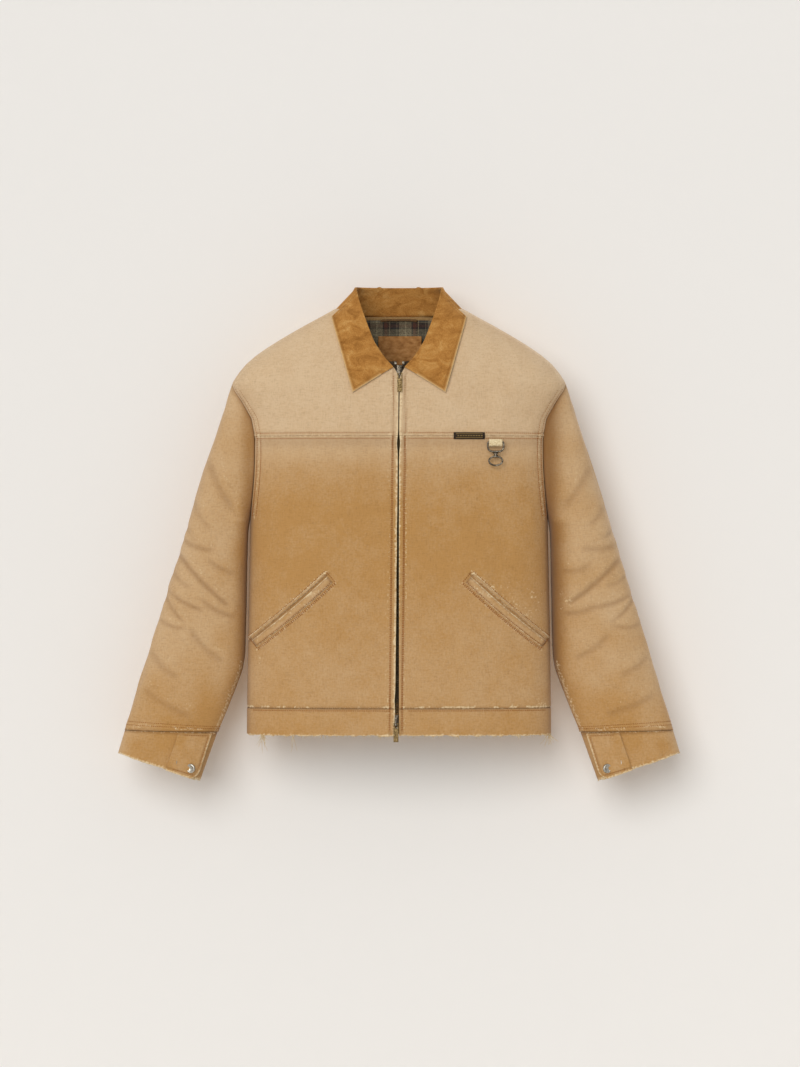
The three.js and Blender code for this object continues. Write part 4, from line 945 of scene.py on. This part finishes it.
count = full.shape[1]
cut = int(count / 2 * 0.46)
spans = {"right": slice(0, cut + 1), "back": slice(cut, count - cut), "left": slice(count - cut - 1, count)}
for name, span in spans.items():
    P = full[:, span]
    outward = (P - np.array([0, CENTRE_Y, 20])) * (part[:, span, None] > 0.3)
    piece = cloth(f"collar_{name}", P, 2.4, [suede], outward, attributes={k: a[:, span] for k, a in tone.items()})
    if name == "back":
        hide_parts("collar_fall", "collar_stand")
        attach(piece, "body")
    else:
        sign = 1 if name == "left" else -1
        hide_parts(f"collar_leaf_{name}", f"collar_wing_{name}")
        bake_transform(piece)
print("collar", full.shape)

# %% [markdown]
# Welt pockets. A folded strip of canvas, the welt, is sewn over the lower lip of a slanted slit.
# The slit's dark inside is pocketing cloth, coloured dark as painted shade, and the upper lip is a
# narrow folded edge, frayed by hands going in and out.

# %% Pockets
def on_welt(sign, run, rise, lift):
    """A place along the mouth (run) and across it (rise), on the cloth and raised by lift."""
    run, rise = np.broadcast_arrays(np.asarray(run, float), np.asarray(rise, float))
    rise = rise - 2.2 * np.sin(np.pi * np.clip(run / WELT["length"], 0, 1))
    x = WELT["inner_x"] + run * WELT_DIRECTION[0] + rise * WELT_ACROSS[0]
    z = WELT["inner_z"] + run * WELT_DIRECTION[1] + rise * WELT_ACROSS[1]
    x = np.minimum(x, half_width(z) - 1.5)
    return on_body(sign * x, z, FRONT, np.broadcast_to(lift, x.shape))


for sign in (1, -1):
    tag = bodies[sign]
    for name, low, high, height, bulge, material, cad in (
            ("welt", -13.0, -0.4, 0.7, 1.4, canvas, f"pocket_welt_{tag}"),
            # The mouth: pocketing cloth, dark as painted shade in the slit.
            ("mouth", -0.6, 3.4, -0.25, -0.1, pocketing_and_shade, f"pocket_bag_{tag}"),
            ("upper_lip", 3.0, 7.2, 0.3, 1.1, canvas, None)):
        v, u = np.broadcast_arrays(np.linspace(0, 1, 14)[:, None], np.linspace(0, 1, 120)[None, :])
        run = -0.8 + (WELT["length"] + 1.6) * u
        taper = 1.0 if name == "welt" else np.clip(np.sin(np.pi * u), 0, 1) ** 0.35 * 0.93 + 0.07
        rise = low + (high - low) * v * taper if name != "welt" else low + (high - low) * v
        if name == "upper_lip":
            rise = 3.4 * taper + (high - low) * v
        lift = height + bulge * np.sin(np.pi * np.clip(v, 0.02, 0.98)) ** 0.6
        lift = lift + 0.3 * noise(run / 4.2, v * 2 + sign, 6)
        P = on_welt(sign, run, rise, lift)
        ends = np.minimum(u, 1 - u) * WELT["length"]
        # dark is painted shade at the pieces' ends and in two grooves along them.
        tone = {"fade": 0.34 + 0.2 * noise(run / 18, v * 3, 5),
                "wear": np.clip(0.7 * bump_line(v - 1, 0.12) + 0.55 * bump_line(v, 0.1)
                                + 0.3 * (noise(run / 5, v * 3, 3) > 0.5), 0, 1),
                "dark": np.clip(0.6 * bump_line(ends - 1.0, 2.2) + 0.3 * bump_line(v - 0.2, 0.07)
                                + 0.3 * bump_line(v - 0.84, 0.07), 0, 1)}
        piece = cloth(f"{name}_cloth_{tag}", P, 1.3, [material], (0, FRONT, 0),
                      attributes={k: np.broadcast_to(a, u.shape) for k, a in tone.items()})
        if cad:
            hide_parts(cad)
        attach(piece, "body")
print("pockets done")

# %% [markdown]
# The zip. A real chain has a tooth every 2 to 3 mm on each tape, meshed with the other side's.
# One small block is repeated down the chain as whole arrays. The sliders and pulls are cast
# metal: blocks and rounded plates with bevelled edges.

# %% Small solids
CUBE = np.array([(a, b, c) for a in (0, 1) for b in (0, 1) for c in (0, 1)], float)
CUBE_FACES = np.array([(0, 1, 3, 2), (4, 6, 7, 5), (0, 4, 5, 1), (2, 3, 7, 6), (0, 2, 6, 4), (1, 5, 7, 3)])


def blocks(name, corners, material, bevel=0.3, shift=None):
    """Many boxes in one mesh, from rows of low and high corners, with their edges bevelled."""
    corners = np.asarray(corners, float).reshape(-1, 2, 3)
    points = corners[:, None, 0] + CUBE[None] * (corners[:, None, 1] - corners[:, None, 0])
    if shift is not None:
        points = shift(points)
    faces = (CUBE_FACES[None] + 8 * np.arange(len(corners))[:, None, None]).reshape(-1, 4)
    piece = add_mesh(name, points, faces, [material], smooth=False)
    if bevel:
        made = piece.modifiers.new("bevel", "BEVEL")
        made.width, made.segments, made.limit_method = bevel * MM, 2, "ANGLE"
    return piece


def lathe(name, profile, centre, axis, material, steps=40):
    """A profile of (radius, height) turned round an axis; its ends close where the profile's radius is zero."""
    axis = np.asarray(axis, float) / np.linalg.norm(axis)
    side = np.cross(axis, (0, 0, 1.0))
    side = side / np.linalg.norm(side)
    other = np.cross(axis, side)
    turn = np.linspace(0, 2 * np.pi, steps, endpoint=False)
    r, h = np.array(profile, float).T
    ring = np.cos(turn)[:, None] * side + np.sin(turn)[:, None] * other
    points = np.asarray(centre, float) + r[:, None, None] * ring[None] + h[:, None, None] * axis
    quads = grid_faces(len(r), steps, True)
    middle = points.reshape(-1, 3)
    if signed_volume(middle, quads) < 0:
        quads = quads[:, ::-1]
    piece = add_mesh(name, middle, quads, [material])
    return weld(piece)


def weld(piece):
    """Merges vertices that lie on each other, as at a pole, and turns the faces outwards."""
    made = bmesh.new()
    made.from_mesh(piece.data)
    bmesh.ops.remove_doubles(made, verts=made.verts, dist=1e-6)
    bmesh.ops.recalc_face_normals(made, faces=made.faces)
    made.to_mesh(piece.data)
    made.free()
    return piece


def tube(points, radius, sides=10, closed=False, flat=1.0):
    """Vertices and faces of a round bar along a path: rings in the plane across the path."""
    points = np.asarray(points, float)
    if closed:
        ahead = np.roll(points, -1, 0) - np.roll(points, 1, 0)
    else:
        ahead = np.gradient(points, axis=0)
    ahead /= np.linalg.norm(ahead, axis=1, keepdims=True)
    reference = np.where(np.abs(ahead[:, 1:2]) > 0.9, (1.0, 0, 0), (0, 1.0, 0))
    one = np.cross(ahead, reference)
    one /= np.linalg.norm(one, axis=1, keepdims=True)
    two = np.cross(ahead, one)
    turn = np.linspace(0, 2 * np.pi, sides, endpoint=False)
    radius = np.broadcast_to(radius, len(points))[:, None, None]
    ring = np.cos(turn)[None, :, None] * one[:, None] + np.sin(turn)[None, :, None] * two[:, None] * flat
    P = points[:, None] + radius * ring
    if closed:
        P = np.concatenate([P, P[:1]])
    return P


def bar(name, points, radius, material, closed=False, sides=12, flat=1.0):
    """A closed bar or ring as one mesh; open ends shrink to a point."""
    if not closed:
        radius = np.full(len(points), float(radius))
        radius[[0, -1]] = 0.0
    P = tube(points, radius, sides, closed, flat)
    piece = add_mesh(name, P, grid_faces(*P.shape[:2], True), [material])
    return weld(piece)


# %% Zip chain, tapes, sliders and pulls
def lean(points):
    """Moves points sideways with the leaning chain."""
    points = points.copy()
    points[..., 0] += zip_x(points[..., 2])
    return points


TAPE_Y = -132.0
for sign in (1, -1):
    tag = bodies[sign]
    low = np.arange(-626, -100, 2.9) + (0 if sign > 0 else 1.45)
    start, end = sorted((sign * -0.7, sign * 4.2))
    corners = np.stack([np.stack([0 * low + start, 0 * low + TAPE_Y - 1.2, low], -1),
                        np.stack([0 * low + end, 0 * low + TAPE_Y + 1.2, low + 1.25], -1)], 1)
    teeth = blocks(f"zip_chain_{tag}", corners, chain_brass, 0.22, lean)
    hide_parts(f"zip_teeth_{tag}")
    v, u = np.broadcast_arrays(np.linspace(0, 1, 120)[:, None], np.linspace(0, 1, 7)[None, :])
    z = -659 + 586 * v
    P = np.stack([zip_x(z) + sign * (4.4 + 14.2 * u), TAPE_Y + 0.15 + 0.1 * noise(z / 5, u * 4, 5), z], -1)
    tape = cloth(f"tape_{tag}", P, 0.8, [zip_cloth], (0, -1, 0))
    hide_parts(f"zip_tape_{tag}")
    for piece in (teeth, tape):
        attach(piece, f"front_{tag}")


def slider(prefix, centre_z, pull_top):
    """A slider: a waisted front plate with a bridge on two thin posts, and its long pull."""
    x = float(zip_x(centre_z))
    front = TAPE_Y - 3.9
    h = np.linspace(-1, 1, 13)
    width = 4.0 + 1.2 * np.clip(h, 0, 1) ** 1.5 - 0.6 * (1 - h ** 2)
    width = width * (1 - np.clip(np.abs(h) - 0.8, 0, 1) * 1.6)
    q = np.linspace(-1, 1, 15)
    X = x + width[:, None] * q
    Z = centre_z + 9 * h[:, None] + 0 * q
    Y = front + 0.4 * q ** 4 + 0.2 * h[:, None] ** 4
    plate = cloth(f"{prefix}_slider_plate", np.stack([X, Y, Z], -1), 1.5, [antique], (0, -1, 0))
    post = 0.6
    rise = 6.5
    bridge = blocks(f"{prefix}_slider_bridge", [
        ((x - post, -144.0, centre_z + rise - 1), (x + post, front + 0.6, centre_z + rise + 1)),
        ((x - post, -144.0, centre_z - rise - 1), (x + post, front + 0.6, centre_z - rise + 1)),
        ((x - 1.1, -145.0, centre_z - rise - 1), (x + 1.1, -143.6, centre_z + rise + 1))], antique, 0.45)
    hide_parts(f"{prefix}_slider")
    for piece in (plate, bridge):
        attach(piece, f"{prefix}_slider")
    px, py, wide, long = x + 0.6, -142.0, 3.9, 30.0  # the pull's middle, half width and length
    low = pull_top - long
    ribs = [((px - wide + 1.1, py - 1.05, low + 2.2 + 2.3 * i), (px + wide - 1.1, py + 0.7, low + 3.2 + 2.3 * i))
            for i in range(6)]
    pull = blocks(f"{prefix}_pull_tab", [
        ((px - wide, py - 0.9, low), (px - wide + 1.3, py + 0.9, pull_top)),
        ((px + wide - 1.3, py - 0.9, low), (px + wide, py + 0.9, pull_top)),
        ((px - wide + 0.6, py - 0.9, low), (px + wide - 0.6, py + 0.9, low + 1.4)),
        ((px - wide + 0.6, py - 0.85, pull_top - 1.6), (px + wide - 0.6, py + 0.85, pull_top)),
        ((px - wide + 0.9, py - 0.4, low + 1.2), (px + wide - 0.9, py + 0.55, pull_top - 8.5)),
        *ribs], aged_brass, 0.35)
    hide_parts(f"{prefix}_pull")
    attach(pull, f"{prefix}_pull")


slider("top", -88.0, -91.3)
slider("bottom", -638.0, -641.3)
for name in ("zip_pin", "zip_box", "zip_top_stop_left", "zip_top_stop_right", "top_slider_back",
             "bottom_slider_back", "snap_stud_left", "snap_stud_right", "snap_socket_left", "snap_socket_right"):
    metal = snap_metal if name.startswith("snap") else antique
    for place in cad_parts[name].material_slots:
        place.material = metal
print("zip done")

# %% [markdown]
# Snaps, label, hanging loop and the clip at the chest. Each snap is a pressed nickel cap with a
# ring and a sunk centre, turned from one profile. The clip is bent and cast wire.

# %% Snaps
SNAP_PROFILE = [(0, 0.9), (2.2, 1.0), (3.1, 1.5), (4.0, 1.3), (4.6, 2.1), (5.8, 2.5), (6.9, 2.1), (7.5, 1.1),
                (7.6, 0), (4.0, -0.2), (0, -0.2)]
for sign in (1, -1):
    tag = bodies[sign]
    at = cuff_front(sign, np.array(0.71), np.array(0.80), 4.0)
    cap = lathe(f"snap_cap_ring_{tag}", SNAP_PROFILE, at, (sign * 0.32, -1, -0.02), snap_metal)
    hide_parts(f"snap_cap_{tag}")
    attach(cap, f"cuff_tab_{tag}")

# %% Chest label, without any words, and the neck patch
v, u = np.broadcast_arrays(np.linspace(0, 1, 12)[:, None], np.linspace(0, 1, 60)[None, :])
x, z = 86 + 49 * u, -195.3 + 10.6 * v
P = on_body(x, z, FRONT, 1.5 + 0.15 * noise(x / 6, z / 4, 5))
label = cloth("woven_label", P, 0.9, [label_weave], (0, -1, 0))
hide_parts("chest_label")
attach(label, "body")
marks = [(89.5, 131.5, -193.4, -192.9), (89.5, 131.5, -187.1, -186.6)]
marks += [(92 + 4.1 * i, 94.2 + 4.1 * i, -190.7, -189.3) for i in range(10)]
for number, (x1, x2, z1, z2) in enumerate(marks):
    v, u = np.broadcast_arrays(np.linspace(0, 1, 3)[:, None], np.linspace(0, 1, 24 if x2 - x1 > 9 else 4)[None, :])
    P = on_body(x1 + (x2 - x1) * u, z1 + (z2 - z1) * v, FRONT, 1.8)
    mark = cloth(f"label_weft_{number}", P, 0.35, [label_gold], (0, -1, 0))
    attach(mark, "body")
v, u = np.broadcast_arrays(np.linspace(0, 1, 30)[:, None], np.linspace(0, 1, 40)[None, :])
x, z = -33 + 69 * u, -79 + 50 * v
y = -9.8 - 0.9 * np.sin(np.pi * u) * np.sin(np.pi * v) - 0.25 * noise(x / 6, z / 6, 5)
y = y + 0.5 * bump_line(np.minimum(np.minimum(u * 69, (1 - u) * 69), np.minimum(v * 50, (1 - v) * 50)) - 3, 0.9)
patch = cloth("neck_patch_hide", np.stack([x, y, z], -1), 1.3, [patch_leather], (0, -1, 0))
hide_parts("neck_patch")
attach(patch, "body")
u = np.linspace(-1, 1, 40)
path = np.stack([30 * u, -7.2 - 1.6 * (1 - u ** 2), -4.5 + 1.5 * (1 - u ** 4)], -1)
loop = bar("hanger_tape", path, 1.9, loop_leather, flat=0.4)
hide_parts("hanger_loop")
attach(loop, "body")
print("labels done")

# %% Webbing, bail, swivel and ring
HANG_X, HANG_Y, BAIL_TOP = 152.0, -135.8, -199.0
fold = np.array([(-132.2, -195.2), (-132.3, -200), (-133.0, -204.8), (-135.8, -206.9), (-138.4, -205.0),
                 (-139.2, -202), (-139.2, -199), (-138.4, -196.6), (-136.2, -195.0)])
steps = np.linspace(0, 1, 40)
y = np.interp(steps, np.linspace(0, 1, len(fold)), fold[:, 0])[:, None]
z = np.interp(steps, np.linspace(0, 1, len(fold)), fold[:, 1])[:, None]
u = np.linspace(-1, 1, 22)[None, :]
P = np.stack(np.broadcast_arrays(HANG_X + 10.4 * u, y - 0.2 * bump_line(np.abs(u) - 0.92, 0.06), z), -1)
strap = cloth("webbing_fold", P, 0.9, [webbing], P - np.array([HANG_X, HANG_Y, -196]))
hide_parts("webbing_loop")
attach(strap, "body")
turn = np.linspace(0, 2 * np.pi, 72, endpoint=False)
c, s = squared(turn, 0.34)
half_wide = 12.6 - 4.2 * np.clip(-s, 0, 1) ** 2
path = np.stack([HANG_X + half_wide * c, HANG_Y + 0 * c, BAIL_TOP - 8.0 + 8.0 * s], -1)
bail = bar("bail_wire", path, 1.35 + 0.35 * np.clip(-s, 0, 1) ** 3, antique, closed=True)
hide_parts("bail")
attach(bail, "bail")
post = lathe("swivel_barrel", [(0, 0), (3.4, 0), (4.3, -0.7), (4.3, -1.6), (2.6, -2.3), (2.3, -3.1), (2.9, -3.7),
                               (2.6, -4.6), (0, -4.8)], (HANG_X, HANG_Y, -216.7), (0, 0.0001, 1), antique, 28)
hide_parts("swivel")
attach(post, "swivel")
path = np.stack([HANG_X + 10.6 * np.cos(turn), HANG_Y + 0 * turn, -229.6 + 7.0 * np.sin(turn)], -1)
ring = bar("clip_ring", path, 1.35 + 0.5 * bump_line(turn - np.pi / 2, 0.35), antique, closed=True)
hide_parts("swivel_ring")
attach(ring, "swivel_ring")
print("clip done")

# %% [markdown]
# Topstitching. Every row is a line of short stitches with gaps, each a small closed bead of
# thread lying in the seam's groove. A stitch is 2.7 mm long every 3.5 mm, and all the stitches
# of one front share one mesh, laid on the cloth they are sewn through.

# %% Stitches
def stitch_rows(name, paths, material, pitch=3.5, length=2.7, radius=0.6):
    """Beads along each path: two five-sided rings and two end points, twenty triangles each."""
    starts, ends = [], []
    for path in paths:
        run = np.concatenate([[0], np.cumsum(np.linalg.norm(np.diff(path, axis=0), axis=1))])
        at = np.arange(pitch / 2, run[-1] - length, pitch)
        at = at + 0.25 * noise(at, len(starts), 6)
        starts.append(np.stack([np.interp(at, run, path[:, i]) for i in range(3)], -1))
        ends.append(np.stack([np.interp(at + length, run, path[:, i]) for i in range(3)], -1))
    a, b = np.concatenate(starts), np.concatenate(ends)
    ahead = (b - a) / np.maximum(np.linalg.norm(b - a, axis=1, keepdims=True), 1e-6)
    one = np.cross(ahead, (0.02, 1.0, 0.03))
    one /= np.linalg.norm(one, axis=1, keepdims=True)
    two = np.cross(ahead, one)
    turn = np.linspace(0, 2 * np.pi, 5, endpoint=False)
    ring = radius * (np.cos(turn)[None, :, None] * one[:, None] + np.sin(turn)[None, :, None] * two[:, None])
    low, high = a + (b - a) * 0.22, a + (b - a) * 0.78
    points = np.concatenate([a[:, None], low[:, None] + ring, high[:, None] + ring, b[:, None]], 1)
    faces = []
    for i in range(5):
        j = (i + 1) % 5
        faces += [(0, 1 + i, 1 + j), (1 + i, 6 + i, 6 + j), (1 + i, 6 + j, 1 + j), (11, 6 + j, 6 + i)]
    faces = np.array(faces)
    first = points[0][faces]
    if np.einsum("ij,ij->i", first[:, 0], np.cross(first[:, 1], first[:, 2])).sum() < 0:
        faces = faces[:, ::-1]
    faces = (faces[None] + 12 * np.arange(len(points))[:, None, None]).reshape(-1, 3)
    return add_mesh(name, points, faces, [material])


def body_row(x, z, side, lift=0.28):
    """Places for a row of stitches on the body."""
    x, z = np.broadcast_arrays(np.asarray(x, float), np.asarray(z, float))
    return on_body(x, z, side, lift)


def armhole_row(sign, side, inset):
    """A row that follows the armhole from the armpit to the shoulder."""
    z = np.linspace(-318, -114, 120)
    return body_row(sign * (half_width(z) * side_share(z, side) - inset), z, side, 0.35)


for sign in (1, -1):
    tag = bodies[sign]
    z = np.linspace(-655, -94, 400)
    rows = [body_row(zip_x(z) + across, z, FRONT) for across in PLACKET_ROWS if across * sign > 0]
    for row in YOKE_ROWS:
        x = np.linspace(13, half_width(row) * float(side_share(row, FRONT)) - 3, 200)
        lift = 0.75 if row > YOKE_Z else 0.28
        rows.append(body_row(sign * x, row, FRONT, lift))
    rows += [armhole_row(sign, FRONT, inset) for inset in (3.0, 9.0)]
    x = np.linspace(13, 233, 200)
    rows.append(body_row(sign * x, HEM_ROWS[0] + 0 * x, FRONT, 0.7))
    piece = stitch_rows(f"seam_rows_{tag}", rows, rust_thread)
    declare_front(piece)
    run = np.linspace(-5, WELT["length"] + 4, 120)
    rise = np.linspace(-16, 8, 20)
    pocket = [on_welt(sign, run, -15.8 + 0 * run, 0.45), on_welt(sign, run, -17.6 + 0 * run, 0.4),
              on_welt(sign, run, 8.6 + 0 * run, 0.45), on_welt(sign, -4.5 + 0 * rise, rise, 0.5),
              on_welt(sign, WELT["length"] + 2.5 + 0 * rise, rise, 0.5),
              on_welt(sign, run[4:-4], -11.6 + 0 * run[4:-4], 2.2)]
    piece = stitch_rows(f"pocket_rows_{tag}", pocket, rust_thread)
    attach(piece, "body")
    v = np.linspace(0, 1, 30)
    lap = [cuff_front(sign, 0.3 + 0.55 * np.linspace(0, 1, 40), np.full(40, row), 4.3) for row in (0.07, 0.92)]
    lap += [cuff_front(sign, 0.845 + 0.04 * v, 0.07 + 0.72 * v, 4.3)]
    piece = stitch_rows(f"lap_rows_{tag}", lap, rust_thread, radius=0.4)
    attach(piece, f"cuff_tab_{tag}")
    angle = np.linspace(np.pi, 2 * np.pi, 160)
    rows = [sleeve_surface(sign, np.full(160, t), angle, 0.35) for t in (0.974, 0.984)]
    piece = stitch_rows(f"cuff_rows_{tag}", rows, rust_thread, radius=0.4)
    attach(piece, f"sleeve_{tag}")
x = np.linspace(-233, 233, 400)
rows = [body_row(x * 0.98, row, BACK, 0.75 if row > YOKE_Z else 0.28) for row in YOKE_ROWS]
rows.append(body_row(x, HEM_ROWS[0], BACK, 0.7))
rows += [armhole_row(sign, BACK, inset) for sign in (1, -1) for inset in (3.0, 9.0)]
piece = stitch_rows("seam_rows_back", rows, rust_thread)
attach(piece, "body")
print("stitches done")

# %% [markdown]
# Fraying. Where the raw edge has worn through, white cotton ends hang out. Each is a bent fibre
# with three sides that thins to its tip. Most are 1 to 5 mm long, and a few long ones hang at
# the hem.

# %% Loose threads
def fibres(name, roots, direction, lengths, radius=0.2, curl=0.5, seed=3, material=cream_thread):
    """Each centre line is root + direction t length + a sideways bend t^2 length curl."""
    rng = np.random.default_rng(seed)
    roots = np.asarray(roots, float)
    count, t = len(roots), np.linspace(0, 1, 6)
    direction = np.broadcast_to(np.asarray(direction, float), roots.shape)
    direction = direction + 0.28 * rng.normal(size=(count, 3)) * (1, 0.3, 0.4)
    direction = direction / np.linalg.norm(direction, axis=1, keepdims=True)
    bend = rng.normal(size=(count, 3)) * (1, 0.2, 0.5) * curl
    size = np.asarray(lengths, float)[:, None, None]
    along = t[None, :, None]
    centre = roots[:, None] + size * (along * direction[:, None] + along ** 2 * bend[:, None] * 0.5)
    one = np.cross(direction, (0.1, 1.0, 0.05))
    one /= np.linalg.norm(one, axis=1, keepdims=True)
    two = np.cross(direction, one)
    turn = np.arange(3) * 2 * np.pi / 3
    around = turn[None, None, :, None]
    ring = np.cos(around) * one[:, None, None] + np.sin(around) * two[:, None, None]
    thin = radius * (1 - 0.6 * t)[None, :, None, None]
    points = (centre[:, :, None] + thin * ring).reshape(count, -1, 3)
    faces = []
    for i in range(5):
        for j in range(3):
            k = (j + 1) % 3
            faces += [(3 * i + j, 3 * i + k, 3 * i + 3 + k), (3 * i + j, 3 * i + 3 + k, 3 * i + 3 + j)]
    faces = np.array(faces + [(2, 1, 0), (15, 16, 17)])
    corner = points[0][faces]
    if np.einsum("ij,ij->i", corner[:, 0], np.cross(corner[:, 1], corner[:, 2])).sum() < 0:
        faces = faces[:, ::-1]
    faces = (faces[None] + 18 * np.arange(count)[:, None, None]).reshape(-1, 3)
    return add_mesh(name, points, faces, [material])


rng = np.random.default_rng(11)
for sign in (1, -1):
    tag = bodies[sign]
    start = 6.0
    x = rng.uniform(start, 238, 260)
    edge = HEM_Z + hem_edge(sign * x)
    lengths = 0.8 + 4.2 * rng.random(260) ** 3
    depth = rng.uniform(-3, 0.3, (260, 1))
    roots = body_point(sign * x, edge + 0.8, FRONT) + body_normal(sign * x, edge, FRONT) * depth
    seam_x = rng.uniform(start, 236, 150)
    seam = on_body(sign * seam_x, HEM_SEAM_Z + rng.uniform(-1, 3.5, 150), FRONT, 0.3)
    clusters = [(-215, 16, 23), (-168, 3, 46), (238, 14, 21), (-120, 5, 8), (92, 6, 7), (190, 6, 8), (-30, 4, 7)]
    long_roots, long_lengths = [], []
    for centre, amount, longest in clusters:
        if centre * sign > 0:
            at = centre + rng.normal(size=amount) * 2.2
            at = np.clip(at, -239, 239)
            long_roots.append(body_point(at, HEM_Z + 0.8 + 0 * at, FRONT))
            long_lengths.append(longest * rng.uniform(0.35, 1.0, amount))
    roots = np.concatenate([roots, seam])
    lengths = np.concatenate([lengths, rng.uniform(0.8, 3.0, 150)])
    piece = fibres(f"hem_fray_{tag}", roots, (0, 0, -1), lengths, curl=0.55, seed=5 + sign)
    declare_front(piece)
    piece = fibres(f"hem_strands_{tag}", np.concatenate(long_roots), (0, 0, -1), np.concatenate(long_lengths),
                   radius=0.42, curl=0.5, seed=21 + sign)
    declare_front(piece)
    run = rng.uniform(0, WELT["length"], 110)
    lips = on_welt(sign, run, 5.6 + rng.uniform(-2.2, 1.2, 110), 1.0)
    piece = fibres(f"pocket_fray_{tag}", lips, (0.3 * sign, -0.3, -1), rng.uniform(0.8, 3.4, 110), curl=0.9, seed=9)
    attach(piece, "body")
    angle = rng.uniform(np.pi, 2 * np.pi, 120)
    c, s = squared(angle, 0.7)
    outer, inner = CUFF_OUTER[1], CUFF_INNER[1]
    place = (outer + inner) / 2 + (outer - inner) / 2 * c[:, None]
    roots = np.stack([sign * place[:, 0], CENTRE_Y + (CUFF_DEPTH - 1) * s, place[:, 1] + 0.8], -1)
    piece = fibres(f"cuff_fray_{tag}", roots, (-0.2 * sign, 0, -1), rng.uniform(0.6, 2.6, 120), curl=0.6, seed=15)
    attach(piece, f"sleeve_{tag}")
print("fraying done")

# %% [markdown]
# The room. The wall stands 30 mm behind the back, so the soft light throws a close, soft shadow
# down and to the right. The light is broad, like a window on an overcast day, with a pale
# surround filling in.

# %% Wall, floor and lights
scene.view_settings.view_transform = "Standard"


def plain_surface(name, hex_value, see_through=False):
    """Flat paint; with see_through its back face lets everything past."""
    material, tree, shader = new_material(name)
    shader.inputs["Base Color"].default_value = colour(hex_value)
    shader.inputs["Roughness"].default_value = 1.0
    shader.inputs["Specular IOR Level"].default_value = 0.0
    if see_through:
        back = node(tree, "ShaderNodeNewGeometry").outputs["Backfacing"]
        clear = node(tree, "ShaderNodeBsdfTransparent")
        both = node(tree, "ShaderNodeMixShader", {0: back, 1: shader.outputs["BSDF"], 2: clear.outputs["BSDF"]})
        tree.links.new(both.outputs["Shader"], tree.nodes["Material Output"].inputs["Surface"])
    return material


def plane(name, corners, material):
    """One square face."""
    return add_mesh(name, corners, [(0, 1, 2, 3)], [material], smooth=False)


WALL_Y, FLOOR_Z, ROOM, CEILING, ROOM_FRONT = 42, -1250, 5000, 4000, -6000
wall = plane("wall", [(-ROOM, WALL_Y, FLOOR_Z), (ROOM, WALL_Y, FLOOR_Z), (ROOM, WALL_Y, CEILING),
                      (-ROOM, WALL_Y, CEILING)], plain_surface("wall_paint", "ebe8e4", True))
wall.visible_shadow = False
floor = plane("floor", [(-ROOM, ROOM_FRONT, FLOOR_Z), (ROOM, ROOM_FRONT, FLOOR_Z), (ROOM, 4000, FLOOR_Z),
                        (-ROOM, 4000, FLOOR_Z)], plain_surface("floor_paint", "d6d2cd"))
world = bpy.data.worlds.new("room")
scene.world = world
world.use_nodes = True
world.node_tree.nodes["Background"].inputs["Color"].default_value = colour("f1f2f2")
world.node_tree.nodes["Background"].inputs["Strength"].default_value = 0.57


def sun(name, strength, spread, direction):
    """A far light that shines along a direction; spread, in radians, softens its shadows."""
    light = bpy.data.lights.new(name, "SUN")
    light.energy, light.angle = strength, spread
    lamp = bpy.data.objects.new(name, light)
    scene.collection.objects.link(lamp)
    lamp.rotation_euler = Vector(direction).to_track_quat("-Z", "Y").to_euler()
    return lamp


sun("window", 1.6, 0.65, (0.28, 1.0, -0.34))
sun("behind", 1.3, 0.6, (-0.3, -1.0, -0.5))
print("room ready")
